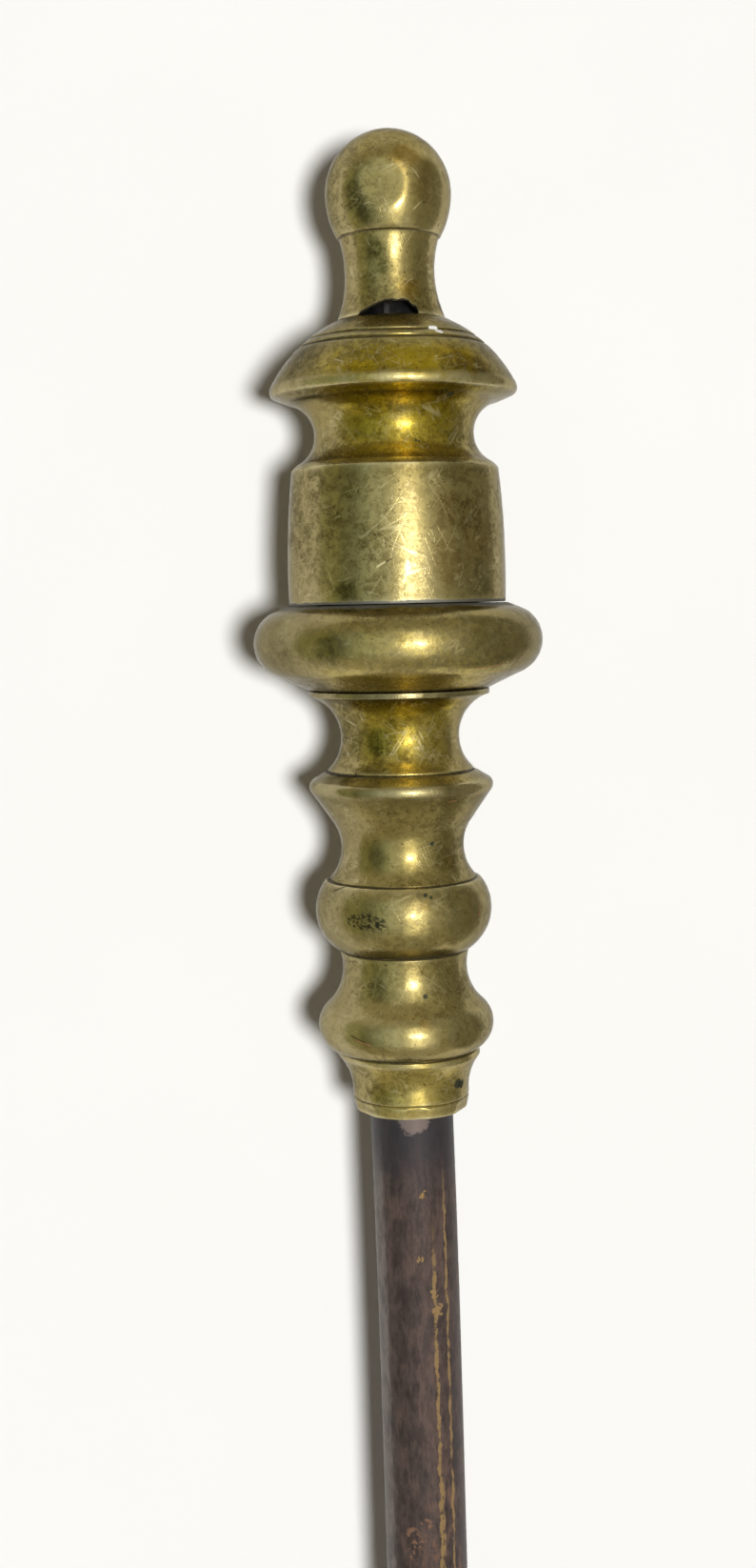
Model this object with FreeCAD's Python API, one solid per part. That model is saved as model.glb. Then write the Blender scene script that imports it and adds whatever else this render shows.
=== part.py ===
"""Fireplace shovel with a turned brass handle, a forged iron shaft and a raised iron pan.

Three brass castings are threaded on the tang of the shaft: a baluster stem, a fat ring and a
barrel with a mushroom cap. They are clamped between the shaft's shoulder and a square nut, and
a ball knob screwed on the end of the tang hides the nut. At the other end the shaft is forged
down into a flat palm, which three rivets hold to the floor of the pan.

Millimetres. The shovel lies on a surface at z = 0: the pan is flat on it and the fat ring of the
handle touches it. X is across the pan, +Y runs along the shaft from the pan to the knob, +Z is
up, and the origin is the middle of the footprint. Pieces are drawn with the shaft's axis on the
Y axis and the mouth of the handle's collar at y = 0, and are then moved to that place.
"""
import FreeCAD, Part
import math
import os

from FreeCAD import Matrix, Placement, Rotation, Vector

# Round bar of the shaft, and the tang that carries the handle
SHAFT_D = 12.7
BAR_LENGTH = 435.0
SOCKET_DEPTH = 16.0
SOCKET_CLEARANCE = 0.08
TANG_D = 8.0
TANG_RISE = 8.0
TANG_CLEARANCE = 0.15
SCREW_D = 5.0
SCREW_GRIP = 8.0
SCREW_TIP_GAP = 1.0
SCREW_CLEARANCE = 0.05
SCREW_CHAMFER = 0.6

# Baluster stem, from the collar's mouth upwards: stretches along the axis, and their diameters
COLLAR_WALL = 2.15
COLLAR_BAND_LENGTH = 1.95
COLLAR_BAND_D = 17.95
COLLAR_FLARE_LENGTH = 6.4
COLLAR_FLARE_DEPTH = 0.05
COLLAR_FLARE_D = 21.7
COLLAR_LIP_LENGTH = 1.0
COLLAR_LIP_D = 22.1
FOOT_RIDGE_LENGTH = 6.8
FOOT_RIDGE_RISE = 1.2
FOOT_RIDGE_TOP_D = 24.4
FOOT_COVE_LENGTH = 8.4
FOOT_COVE_DEPTH = 0.42
FOOT_COVE_TOP_D = 19.8
BEAD_LENGTH = 10.9
BEAD_RISE = 1.65
BEAD_TOP_D = 23.5
WAIST_COVE_LENGTH = 8.4
WAIST_COVE_BASE_D = 22.7
WAIST_COVE_DEPTH = 1.0
WAIST_COVE_TOP_D = 20.6
WAIST_FLANK_LENGTH = 4.6
RIDGE_LENGTH = 2.1
RIDGE_EDGE_D = 26.9
RIDGE_RISE = 0.45
RIDGE_FLANK_LENGTH = 1.35
RIDGE_FLANK_D = 22.4
NECKING_COVE_LENGTH = 11.2
NECKING_COVE_DEPTH = 2.25
FLANGE_D = 27.2
FLANGE_LENGTH = 0.9
STEM_SPIGOT_D = 15.0
STEM_SPIGOT_LENGTH = 2.0

# Filed flats that close the collar's mouth on the bar
CRIMP_FLATS = 6
CRIMP_ACROSS_FLATS = 16.6
CRIMP_HEIGHT = 4.6
CRIMP_TURN_DEG = 4.0

# Fat ring
RING_UNDERSIDE_LENGTH = 2.15
RING_UNDERSIDE_D = 36.4
RING_BEAD_LENGTH = 9.5
RING_RISE = 2.75
RING_SHOULDER_D = 37.8
RING_UPPER_LENGTH = 1.0
RING_TOP_D = 32.8
RING_SPIGOT_LENGTH = 2.5

# Barrel and mushroom cap, one casting
BARREL_LENGTH = 19.8
BARREL_FOOT_D = 32.4
BARREL_RISE = 0.08
BARREL_TOP_D = 30.8
BARREL_WALL = 3.2
CORE_HEIGHT = 18.0
CORE_ROOF_CHAMFER = 5.0
SHOULDER_LENGTH = 0.8
SHOULDER_D = 29.2
CAP_COVE_LENGTH = 9.0
CAP_COVE_DEPTH = 2.75
CAP_COVE_TOP_D = 31.8
CAP_UNDERSIDE_LENGTH = 0.9
CAP_RIM_LENGTH = 1.7
CAP_RIM_D = 36.1
CAP_RIM_RISE = 0.3
CAP_DOME_LENGTH = 9.15
CAP_DOME_BULGE = 1.1
CAP_TOP_D = 16.7
CAP_LINE_DROPS = (2.65, 3.75)

# Ball knob and the nut under it
NECK_LENGTH = 11.9
NECK_BASE_D = 16.3
NECK_WAIST_DEPTH = 0.75
NECK_TOP_D = 14.8
BALL_D = 18.6
BALL_FLANK_LENGTH = 6.25
BALL_SEAM_INSET = 1.65
NUT_ACROSS = 7.4
NUT_HEIGHT = 3.6
NUT_CORNER_TRIM = 0.35
NUT_CLEARANCE = 0.3
NUT_HEADROOM = 0.6
NUT_TURN_DEG = 36.0
NOTCH_WIDTH = 9.2
NOTCH_HEIGHT = 2.1

# Scribed lines of the turned brass, and small easing of fits
LINE_DEPTH = 0.3
LINE_WIDTH = 0.6
SPIGOT_CLEARANCE = 0.12
SPIGOT_END_GAP = 0.3

# Cranked neck and palm of the shaft
CRANK_LENGTH = 58.0
CRANK_SECTIONS = 5
CRANK_END_WIDTH = 17.0
CRANK_END_THICKNESS = 4.6
CRANK_LIFT = 0.1
RIB_LENGTH = 26.0
RIB_END_WIDTH = 8.0
RIB_END_SINK = 0.4
PALM_THICKNESS = 3.4
PALM_LENGTH = 64.0
PALM_BACK_OVERLAP = 7.0
PALM_ROOT_WIDTH = 16.0
PALM_WIDTH = 33.0
PALM_SHOULDER = 15.0
PALM_SIDE_BULGE = 3.0
PALM_TIP_RADIUS = 5.0
PALM_EDGE_RADIUS = 1.0

# Sheet-iron pan
SHEET = 1.5
PAN_LENGTH = 168.0
FLOOR_FRONT_WIDTH = 118.0
FLOOR_BACK_WIDTH = 100.0
PAN_CORNER_RADIUS = 26.0
BEND_RADIUS = 4.0
WALL_LEAN_DEG = 22.0
RIM_GAP = 0.3
CHEEK_LENGTH = 20.0
CHEEK_HEIGHT = 6.0
LIP_EDGE = 0.5
LIP_BEVEL = 7.0

# Rivets: one near the palm's tip and a pair across its widest part
RIVET_D = 5.0
RIVET_HEAD_D = 9.6
RIVET_HEAD_HEIGHT = 2.7
RIVET_TAIL_D = 7.0
RIVET_TAIL_DEPTH = 1.0
RIVET_CLEARANCE = 0.06
RIVET_PAIR_SPACING = 17.0
RIVET_PAIR_SETBACK = 3.0
RIVET_TIP_SETBACK = 15.0

# Where the cutting tools start and stop clear of the metal
CUT_MARGIN = 5.0

AXIS = Vector(0, 1, 0)
UP = Vector(0, 0, 1)


def arc_reach(length, start_gap, end_gap):
    """Distance to the crest of a circular arc whose two ends lie these gaps below its crest."""
    slant = length ** 2 + (start_gap - end_gap) ** 2
    across = length + math.sqrt(end_gap / start_gap * slant)
    return (length ** 2 + end_gap ** 2 - start_gap * end_gap) / across


class Turning:
    """Outline of a turned piece, drawn from its lower end upwards in the half plane x > 0."""

    def __init__(self, station, diameter):
        self.start = station
        self.station = station
        self.radius = diameter / 2
        self.lines = []
        self.edges = []
        self._straight(Vector(0, station, 0), self.point())

    def point(self):
        return Vector(self.radius, self.station, 0)

    def _straight(self, first, last):
        self.edges.append(Part.makeLine(first, last))

    def _advance(self, length, radius):
        before = self.point()
        self.station += length
        self.radius = radius
        return before

    def step(self, diameter):
        """Flat shoulder, square to the axis."""
        self._straight(self._advance(0, diameter / 2), self.point())

    def taper(self, length, diameter):
        """Straight stretch."""
        self._straight(self._advance(length, diameter / 2), self.point())

    def _crest_arc(self, length, crest, radius):
        reach = arc_reach(length, abs(crest - self.radius), abs(crest - radius))
        middle = Vector(crest, self.station + reach, 0)
        before = self._advance(length, radius)
        self.edges.append(Part.Arc(before, middle, self.point()).toShape())

    def swell(self, length, rise, diameter):
        """Convex arc that rises this far past its wider end."""
        crest = max(self.radius, diameter / 2) + rise
        self._crest_arc(length, crest, diameter / 2)
        return crest

    def cove(self, length, depth, diameter):
        """Concave arc that dips this far past its narrower end."""
        crest = min(self.radius, diameter / 2) - depth
        self._crest_arc(length, crest, diameter / 2)

    def dome(self, length, bulge, diameter, line_drops):
        """Convex arc that stands out from its chord, scribed at these drops below its top."""
        before = self._advance(length, diameter / 2)
        after = self.point()
        chord = after - before
        outward = Vector(chord.y, -chord.x, 0).normalize()
        edge = Part.Arc(before, (before + after) / 2 + outward * bulge, after).toShape()
        self.edges.append(edge)
        circle = edge.Curve
        for drop in line_drops:
            station = after.y - drop
            lift = station - circle.Center.y
            self.lines.append((station, circle.Center.x + math.sqrt(circle.Radius ** 2 - lift ** 2)))

    def ball(self, flank_length, seam_inset, diameter):
        """Ball that is drawn out below its equator to a narrower seam, up to its pole on the axis."""
        radius = diameter / 2
        self.step(diameter - 2 * seam_inset)
        flank_radius = (seam_inset ** 2 + flank_length ** 2) / (2 * seam_inset)
        half_turn = math.asin(flank_length / flank_radius) / 2
        before = self._advance(flank_length, radius)
        middle = Vector(-flank_radius * (1 - math.cos(half_turn)), -flank_radius * math.sin(half_turn), 0)
        self.edges.append(Part.Arc(before, self.point() + middle, self.point()).toShape())
        before = self._advance(radius, 0)
        middle = before + Vector(math.cos(math.pi / 4) - 1, math.sin(math.pi / 4), 0) * radius
        self.edges.append(Part.Arc(before, middle, self.point()).toShape())

    def line(self):
        """Scribed line at the present place."""
        self.lines.append((self.station, self.radius))

    def solid(self):
        """The turned solid, with its scribed lines cut."""
        end = Vector(0, self.station, 0)
        if self.radius > 0:
            self._straight(self.point(), end)
        self._straight(end, Vector(0, self.start, 0))
        face = Part.Face(Part.Wire(Part.__sortEdges__(self.edges)))
        turned = face.revolve(Vector(), AXIS, 360)
        for station, radius in self.lines:
            turned = turned.cut(line_cutter(station, radius))
        return turned


def line_cutter(station, radius):
    """Ring of V section that cuts one scribed line."""
    outline = [
        Vector(radius - LINE_DEPTH, station, 0),
        Vector(radius + LINE_DEPTH, station - LINE_WIDTH, 0),
        Vector(radius + LINE_DEPTH, station + LINE_WIDTH, 0),
    ]
    return Part.Face(Part.makePolygon(outline + outline[:1])).revolve(Vector(), AXIS, 360)


def rod(diameter, low, high):
    """Round rod on the axis between two stations."""
    return Part.makeCylinder(diameter / 2, high - low, AXIS * low, AXIS)


def prism(points, direction):
    """Solid from a flat outline of straight sides."""
    return Part.Face(Part.makePolygon(points + points[:1])).extrude(direction)


def stem_turning():
    """Outline of the baluster stem up to the flange under the fat ring."""
    stem = Turning(0, SHAFT_D + 2 * COLLAR_WALL)
    stem.taper(COLLAR_BAND_LENGTH, COLLAR_BAND_D)
    stem.line()
    stem.cove(COLLAR_FLARE_LENGTH, COLLAR_FLARE_DEPTH, COLLAR_FLARE_D)
    stem.taper(COLLAR_LIP_LENGTH, COLLAR_LIP_D)
    stem.line()
    stem.swell(FOOT_RIDGE_LENGTH, FOOT_RIDGE_RISE, FOOT_RIDGE_TOP_D)
    stem.cove(FOOT_COVE_LENGTH, FOOT_COVE_DEPTH, FOOT_COVE_TOP_D)
    stem.line()
    stem.swell(BEAD_LENGTH, BEAD_RISE, BEAD_TOP_D)
    stem.step(WAIST_COVE_BASE_D)
    stem.line()
    stem.cove(WAIST_COVE_LENGTH, WAIST_COVE_DEPTH, WAIST_COVE_TOP_D)
    stem.taper(WAIST_FLANK_LENGTH, RIDGE_EDGE_D)
    stem.swell(RIDGE_LENGTH, RIDGE_RISE, RIDGE_EDGE_D)
    stem.taper(RIDGE_FLANK_LENGTH, RIDGE_FLANK_D)
    stem.line()
    stem.cove(NECKING_COVE_LENGTH, NECKING_COVE_DEPTH, FLANGE_D)
    stem.taper(FLANGE_LENGTH, FLANGE_D)
    return stem


def ring_turning(station):
    """Outline of the fat ring, and the radius of its crest."""
    ring = Turning(station, FLANGE_D)
    ring.taper(RING_UNDERSIDE_LENGTH, RING_UNDERSIDE_D)
    crest = ring.swell(RING_BEAD_LENGTH, RING_RISE, RING_SHOULDER_D)
    ring.taper(RING_UPPER_LENGTH, RING_TOP_D)
    return ring, crest


def cap_turning(station):
    """Outline of the barrel, the cove over it and the mushroom cap."""
    cap = Turning(station, BARREL_FOOT_D)
    cap.swell(BARREL_LENGTH, BARREL_RISE, BARREL_TOP_D)
    cap.taper(SHOULDER_LENGTH, SHOULDER_D)
    cap.cove(CAP_COVE_LENGTH, CAP_COVE_DEPTH, CAP_COVE_TOP_D)
    cap.taper(CAP_UNDERSIDE_LENGTH, CAP_RIM_D)
    cap.swell(CAP_RIM_LENGTH, CAP_RIM_RISE, CAP_RIM_D)
    cap.dome(CAP_DOME_LENGTH, CAP_DOME_BULGE, CAP_TOP_D, CAP_LINE_DROPS)
    return cap


def knob_turning(station):
    """Outline of the knob: concave neck and ball."""
    knob = Turning(station, NECK_BASE_D)
    knob.cove(NECK_LENGTH, NECK_WAIST_DEPTH, NECK_TOP_D)
    knob.ball(BALL_FLANK_LENGTH, BALL_SEAM_INSET, BALL_D)
    return knob


STEM = stem_turning()
STEM_TOP = STEM.station
RING, RING_CREST = ring_turning(STEM_TOP)
RING_TOP = RING.station
CAP = cap_turning(RING_TOP)
CAP_TOP = CAP.station
KNOB = knob_turning(CAP_TOP)
KNOB_TOP = KNOB.station

TANG_END = RING_TOP + TANG_RISE
SCREW_TIP = CAP_TOP + NUT_HEIGHT + NUT_HEADROOM + SCREW_GRIP
TANG_BORE_D = TANG_D + 2 * TANG_CLEARANCE
SCREW_BORE_D = SCREW_D + 2 * SCREW_CLEARANCE
CORE_D = BARREL_TOP_D - 2 * BARREL_WALL

FLOOR_Z = -RING_CREST
PALM_Z = FLOOR_Z + SHEET
PALM_TOP_Z = PALM_Z + PALM_THICKNESS
RIM_HEIGHT = RING_CREST - SHAFT_D / 2 - RIM_GAP
PAN_BACK = -BAR_LENGTH
PAN_FRONT = PAN_BACK - PAN_LENGTH
CRANK_END = PAN_BACK - CRANK_LENGTH
PALM_ROOT = CRANK_END + PALM_BACK_OVERLAP
PALM_TIP = PALM_ROOT - PALM_LENGTH


def crimp_cutter(index):
    """Wedge outside one filed flat, which leans out and runs off the collar at its upper end."""
    flare = Turning(0, SHAFT_D + 2 * COLLAR_WALL)
    flare.taper(CRIMP_HEIGHT, COLLAR_FLARE_D)
    inner = CRIMP_ACROSS_FLATS / 2
    outer = inner + COLLAR_FLARE_D
    half_width = COLLAR_FLARE_D
    outline = [
        Vector(-half_width, -CUT_MARGIN, inner),
        Vector(-half_width, 0, inner),
        Vector(-half_width, CRIMP_HEIGHT, flare.radius),
        Vector(-half_width, CRIMP_HEIGHT, outer),
        Vector(-half_width, -CUT_MARGIN, outer),
    ]
    wedge = prism(outline, Vector(2 * half_width, 0, 0))
    wedge.rotate(Vector(), AXIS, CRIMP_TURN_DEG + index * 360 / CRIMP_FLATS)
    return wedge


def baluster_stem():
    """Stem with its spigot, the socket for the bar and the bore for the tang."""
    stem = STEM.solid()
    stem = stem.fuse(rod(STEM_SPIGOT_D, STEM_TOP, STEM_TOP + STEM_SPIGOT_LENGTH))
    for index in range(CRIMP_FLATS):
        stem = stem.cut(crimp_cutter(index))
    stem = stem.cut(rod(SHAFT_D + 2 * SOCKET_CLEARANCE, -CUT_MARGIN, SOCKET_DEPTH))
    return stem.cut(rod(TANG_BORE_D, 0, STEM_TOP + STEM_SPIGOT_LENGTH + CUT_MARGIN))


def torus_ring():
    """Fat ring, recessed below for the stem's spigot and with a spigot for the barrel's core."""
    ring = RING.solid()
    spigot_d = CORE_D - 2 * SPIGOT_CLEARANCE
    ring = ring.fuse(rod(spigot_d, RING_TOP, RING_TOP + RING_SPIGOT_LENGTH))
    recess_top = STEM_TOP + STEM_SPIGOT_LENGTH + SPIGOT_END_GAP
    ring = ring.cut(rod(STEM_SPIGOT_D + 2 * SPIGOT_CLEARANCE, STEM_TOP - CUT_MARGIN, recess_top))
    return ring.cut(rod(TANG_BORE_D, STEM_TOP, RING_TOP + RING_SPIGOT_LENGTH + CUT_MARGIN))


def barrel_core():
    """Hollow that the casting's core leaves in the barrel, with a sloping roof."""
    core = Turning(RING_TOP - CUT_MARGIN, CORE_D)
    core.taper(CUT_MARGIN + CORE_HEIGHT - CORE_ROOF_CHAMFER, CORE_D)
    core.taper(CORE_ROOF_CHAMFER, CORE_D - 2 * CORE_ROOF_CHAMFER)
    return core.solid()


def cap_barrel():
    """Barrel and mushroom cap, hollow below and bored for the screwed end of the tang."""
    cap = CAP.solid().cut(barrel_core())
    return cap.cut(rod(SCREW_BORE_D, RING_TOP, CAP_TOP + CUT_MARGIN))


def neck_notch():
    """Arched gap in the upper side of the neck's foot, which lets the nut be seen."""
    radius = ((NOTCH_WIDTH / 2) ** 2 + NOTCH_HEIGHT ** 2) / (2 * NOTCH_HEIGHT)
    centre = AXIS * (CAP_TOP + NOTCH_HEIGHT - radius)
    return Part.makeCylinder(radius, NECK_BASE_D, centre, UP)


def finial_knob():
    """Knob with a blind screw hole, a counterbore over the nut and the gap at its foot."""
    pocket_d = NUT_ACROSS * math.sqrt(2) + 2 * NUT_CLEARANCE
    pocket_top = CAP_TOP + NUT_HEIGHT + NUT_HEADROOM
    knob = KNOB.solid()
    knob = knob.cut(rod(pocket_d, CAP_TOP - CUT_MARGIN, pocket_top))
    knob = knob.cut(rod(SCREW_BORE_D, CAP_TOP, SCREW_TIP + SCREW_TIP_GAP))
    return knob.cut(neck_notch())


def tang_nut():
    """Square nut with its corners eased, one corner turned towards the gap in the knob."""
    half = NUT_ACROSS / 2
    block = Part.makeBox(NUT_ACROSS, NUT_HEIGHT, NUT_ACROSS, Vector(-half, CAP_TOP, -half))
    block.rotate(Vector(), AXIS, NUT_TURN_DEG)
    corner_d = NUT_ACROSS * math.sqrt(2) - 2 * NUT_CORNER_TRIM
    block = block.common(rod(corner_d, CAP_TOP, CAP_TOP + NUT_HEIGHT))
    return block.cut(rod(SCREW_BORE_D, CAP_TOP - CUT_MARGIN, CAP_TOP + NUT_HEIGHT + CUT_MARGIN))


def crank_section(station, height, slope, width, thickness):
    """Oval section of the forged neck, square to its line."""
    oval = Part.Wire(Part.makeCircle(1, Vector(), AXIS))
    size = Matrix()
    size.scale(width / 2, 1, thickness / 2)
    place = Placement(Vector(0, station, height), Rotation(Vector(1, 0, 0), slope)).toMatrix()
    return oval.transformGeometry(place * size)


def crank():
    """Neck that sweeps down from the round bar and dies into the palm as a low rib."""
    drop = PALM_Z + CRANK_LIFT + CRANK_END_THICKNESS / 2
    sections = []
    for index in range(CRANK_SECTIONS):
        share = index / (CRANK_SECTIONS - 1)
        station = PAN_BACK - share * CRANK_LENGTH
        height = drop * (1 - math.cos(math.pi * share)) / 2
        rise = -drop * math.pi / 2 * math.sin(math.pi * share) / CRANK_LENGTH
        width = SHAFT_D + share * (CRANK_END_WIDTH - SHAFT_D)
        thickness = SHAFT_D + share * (CRANK_END_THICKNESS - SHAFT_D)
        sections.append(crank_section(station, height, math.degrees(math.atan(rise)), width, thickness))
    rib_thickness = PALM_THICKNESS - 2 * RIB_END_SINK
    rib_height = PALM_Z + PALM_THICKNESS / 2
    sections.append(crank_section(CRANK_END - RIB_LENGTH, rib_height, 0, RIB_END_WIDTH, rib_thickness))
    return Part.makeLoft(sections, True, False)


def bulged_arc(first, last, bulge):
    """Flat arc from first to last that stands out to the left of their chord."""
    chord = last - first
    left = Vector(-chord.y, chord.x, 0).normalize()
    return Part.Arc(first, (first + last) / 2 + left * bulge, last).toShape()


def palm_plate():
    """Shield-shaped palm with an eased upper edge and a rounded tip."""
    widest = PALM_ROOT - PALM_SHOULDER
    root_left = Vector(-PALM_ROOT_WIDTH / 2, PALM_ROOT, PALM_Z)
    root_right = Vector(PALM_ROOT_WIDTH / 2, PALM_ROOT, PALM_Z)
    wide_left = Vector(-PALM_WIDTH / 2, widest, PALM_Z)
    wide_right = Vector(PALM_WIDTH / 2, widest, PALM_Z)
    tip = Vector(0, PALM_TIP, PALM_Z)
    outline = Part.Wire([
        Part.makeLine(root_right, root_left),
        Part.makeLine(root_left, wide_left),
        bulged_arc(wide_left, tip, -PALM_SIDE_BULGE),
        bulged_arc(tip, wide_right, -PALM_SIDE_BULGE),
        Part.makeLine(wide_right, root_right),
    ])
    plate = Part.Face(outline).extrude(UP * PALM_THICKNESS)
    corners = [edge for edge in plate.Edges if is_upright(edge) and edge.CenterOfMass.y < PALM_ROOT - 1]
    plate = plate.makeFillet(PALM_TIP_RADIUS, corners)
    rim = [edge for edge in plate.Edges if edge.BoundBox.ZMin > PALM_TOP_Z - PALM_THICKNESS / 4]
    return plate.makeFillet(min(PALM_EDGE_RADIUS, PALM_THICKNESS / 2), rim)


def is_upright(edge):
    """True for a straight edge along Z."""
    box = edge.BoundBox
    return box.ZLength > box.XLength + box.YLength


def rivet_places():
    """Centres of the rivets in plan."""
    pair = PALM_ROOT - PALM_SHOULDER - RIVET_PAIR_SETBACK
    half = RIVET_PAIR_SPACING / 2
    return [(-half, pair), (half, pair), (0, PALM_TIP + RIVET_TIP_SETBACK)]


def rivet(x, y, clearance):
    """Rivet with a domed head on the palm and a countersunk tail flush with the pan's underside."""
    shank = RIVET_D / 2 + clearance
    tail = RIVET_TAIL_D / 2 + clearance
    head = RIVET_HEAD_D / 2
    crown = PALM_TOP_Z + RIVET_HEAD_HEIGHT
    dome_radius = (head ** 2 + RIVET_HEAD_HEIGHT ** 2) / (2 * RIVET_HEAD_HEIGHT)
    lean = math.asin(min(1, head / dome_radius)) / 2
    middle = Vector(dome_radius * math.sin(lean), 0, crown - dome_radius * (1 - math.cos(lean)))
    corners = [
        Vector(head, 0, PALM_TOP_Z),
        Vector(shank, 0, PALM_TOP_Z),
        Vector(shank, 0, FLOOR_Z + RIVET_TAIL_DEPTH),
        Vector(tail, 0, FLOOR_Z),
        Vector(0, 0, FLOOR_Z),
        Vector(0, 0, crown),
    ]
    edges = [Part.makeLine(first, last) for first, last in zip(corners, corners[1:])]
    edges.append(Part.Arc(corners[-1], middle, corners[0]).toShape())
    solid = Part.Face(Part.Wire(edges)).revolve(Vector(), UP, 360)
    solid.translate(Vector(x, y, 0))
    return solid


def pan_rivets():
    """The rivets, as separate solids."""
    return Part.makeCompound([rivet(x, y, 0) for x, y in rivet_places()])


def drilled(solid):
    """Solid with the holes that the rivets pass through."""
    for x, y in rivet_places():
        solid = solid.cut(rivet(x, y, RIVET_CLEARANCE))
    return solid


def shaft():
    """One forging: screw, tang, round bar, cranked neck and palm."""
    screw = rod(SCREW_D, TANG_END, SCREW_TIP)
    tip = [edge for edge in screw.Edges if edge.BoundBox.YMin > SCREW_TIP - SCREW_CHAMFER]
    screw = screw.makeChamfer(SCREW_CHAMFER, tip)
    tang = rod(TANG_D, SOCKET_DEPTH, TANG_END).fuse(screw)
    palm = drilled(crank().fuse(palm_plate()))
    return rod(SHAFT_D, PAN_BACK, SOCKET_DEPTH).fuse(tang).fuse(palm)


def rounded_corner(corner, towards_first, towards_last, radius):
    """Ends and middle of the arc that rounds a corner between two directions."""
    bisector = (towards_first + towards_last).normalize()
    half_angle = towards_first.getAngle(towards_last) / 2
    run = radius / math.tan(half_angle)
    middle = corner + bisector * (radius / math.sin(half_angle) - radius)
    return corner + towards_first * run, middle, corner + towards_last * run


def floor_outline(bend_back):
    """Edges of the line where the floor turns up, from the front left round to the front right."""
    front = PAN_FRONT - CUT_MARGIN
    front_left = Vector(-FLOOR_FRONT_WIDTH / 2, front, FLOOR_Z)
    back_left = Vector(-FLOOR_BACK_WIDTH / 2, bend_back, FLOOR_Z)
    side = (front_left - back_left).normalize()
    first, middle, last = rounded_corner(back_left, side, Vector(1, 0, 0), PAN_CORNER_RADIUS)
    mirrored = [Vector(-point.x, point.y, point.z) for point in (last, middle, first, front_left)]
    return [
        Part.makeLine(front_left, first),
        Part.Arc(first, middle, last).toShape(),
        Part.makeLine(last, mirrored[0]),
        Part.Arc(*mirrored[:3]).toShape(),
        Part.makeLine(mirrored[2], mirrored[3]),
    ]


def wall_section(lean):
    """Edges of the wall's section: out from the bend line along x, and up along z."""
    turn = math.pi / 2 - lean
    centre = Vector(0, 0, SHEET + BEND_RADIUS)

    def bend_point(radius, angle):
        return centre + Vector(radius * math.sin(angle), 0, -radius * math.cos(angle))

    def rim_point(foot):
        return foot + Vector(math.tan(lean), 0, 1) * (RIM_HEIGHT - foot.z)

    outer = BEND_RADIUS + SHEET
    inner_foot = bend_point(BEND_RADIUS, turn)
    outer_foot = bend_point(outer, turn)
    inner_rim = rim_point(inner_foot)
    outer_rim = rim_point(outer_foot)
    edges = [
        Part.makeLine(bend_point(outer, 0), bend_point(BEND_RADIUS, 0)),
        Part.Arc(bend_point(BEND_RADIUS, 0), bend_point(BEND_RADIUS, turn / 2), inner_foot).toShape(),
        Part.makeLine(inner_foot, inner_rim),
        Part.makeLine(inner_rim, outer_rim),
        Part.makeLine(outer_rim, outer_foot),
        Part.Arc(outer_foot, bend_point(outer, turn / 2), bend_point(outer, 0)).toShape(),
    ]
    return Part.Wire(edges), outer_rim.x


def raised_wall(path, section):
    """Wall swept round the floor's outline."""
    start = path.OrderedEdges[0]
    heading = start.tangentAt(start.FirstParameter)
    outward = Vector(-heading.y, heading.x, 0)
    turn = math.degrees(math.atan2(outward.y, outward.x))
    section.Placement = Placement(start.firstVertex().Point, Rotation(UP, turn))
    sweep = Part.BRepOffsetAPI.MakePipeShell(path)
    sweep.setBiNormalMode(UP)
    sweep.add(section, False, False)
    sweep.build()
    sweep.makeSolid()
    return sweep.shape()


def rim_cutter():
    """Everything above the line of the rim: bevelled lip, rising cheeks and level back."""
    half_width = FLOOR_FRONT_WIDTH
    level = [
        (PAN_FRONT - 2 * CUT_MARGIN, 0),
        (PAN_FRONT, 0),
        (PAN_FRONT, LIP_EDGE),
        (PAN_FRONT + LIP_BEVEL, SHEET),
        (PAN_FRONT + LIP_BEVEL + CHEEK_LENGTH, CHEEK_HEIGHT),
        (PAN_BACK - PAN_CORNER_RADIUS, RIM_HEIGHT),
        (PAN_BACK - PAN_CORNER_RADIUS, RIM_HEIGHT + CUT_MARGIN),
        (PAN_FRONT - 2 * CUT_MARGIN, RIM_HEIGHT + CUT_MARGIN),
    ]
    outline = [Vector(-half_width, y, FLOOR_Z + z) for y, z in level]
    return prism(outline, Vector(2 * half_width, 0, 0))


def pan():
    """Sheet pan: flat floor, leaning wall round the back and sides, bevelled front lip."""
    section, back_run = wall_section(math.radians(WALL_LEAN_DEG))
    edges = floor_outline(PAN_BACK - back_run)
    closing = Part.makeLine(edges[-1].lastVertex().Point, edges[0].firstVertex().Point)
    floor = Part.Face(Part.Wire(edges + [closing])).extrude(UP * SHEET)
    sheet = floor.fuse(raised_wall(Part.Wire(edges), section)).removeSplitter()
    return drilled(sheet.cut(rim_cutter()))


PIECES = {
    "finial_knob": finial_knob,
    "tang_nut": tang_nut,
    "cap_barrel": cap_barrel,
    "torus_ring": torus_ring,
    "baluster_stem": baluster_stem,
    "shaft": shaft,
    "pan": pan,
    "pan_rivets": pan_rivets,
}


def main():
    os.makedirs("parts", exist_ok=True)
    to_rest = Vector(0, -(KNOB_TOP + PAN_FRONT) / 2, -FLOOR_Z)
    for name, make in PIECES.items():
        shape = make()
        shape.translate(to_rest)
        shape.exportStep(f"parts/{name}.step")
        print(name, "solids", len(shape.Solids), "valid", shape.isValid(), "volume", round(shape.Volume))
    print("overall length", round(KNOB_TOP - PAN_FRONT, 2), "axis height", round(RING_CREST, 2))


main()
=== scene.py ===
"""Looks of the fireplace shovel: worn turned brass, a brown forged shaft and a fire-blackened pan.

Metres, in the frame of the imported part: +Y runs along the shaft from the pan to the knob and +Z is
up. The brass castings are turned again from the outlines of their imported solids, with worn edges,
dents and tarnish. The shaft and the pan are drawn again with hammered surfaces. The nut and the
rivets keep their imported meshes.
"""
import math

import bmesh
import bpy
import numpy as np
from mathutils import Matrix, Vector, noise
from mathutils.bvhtree import BVHTree


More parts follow.
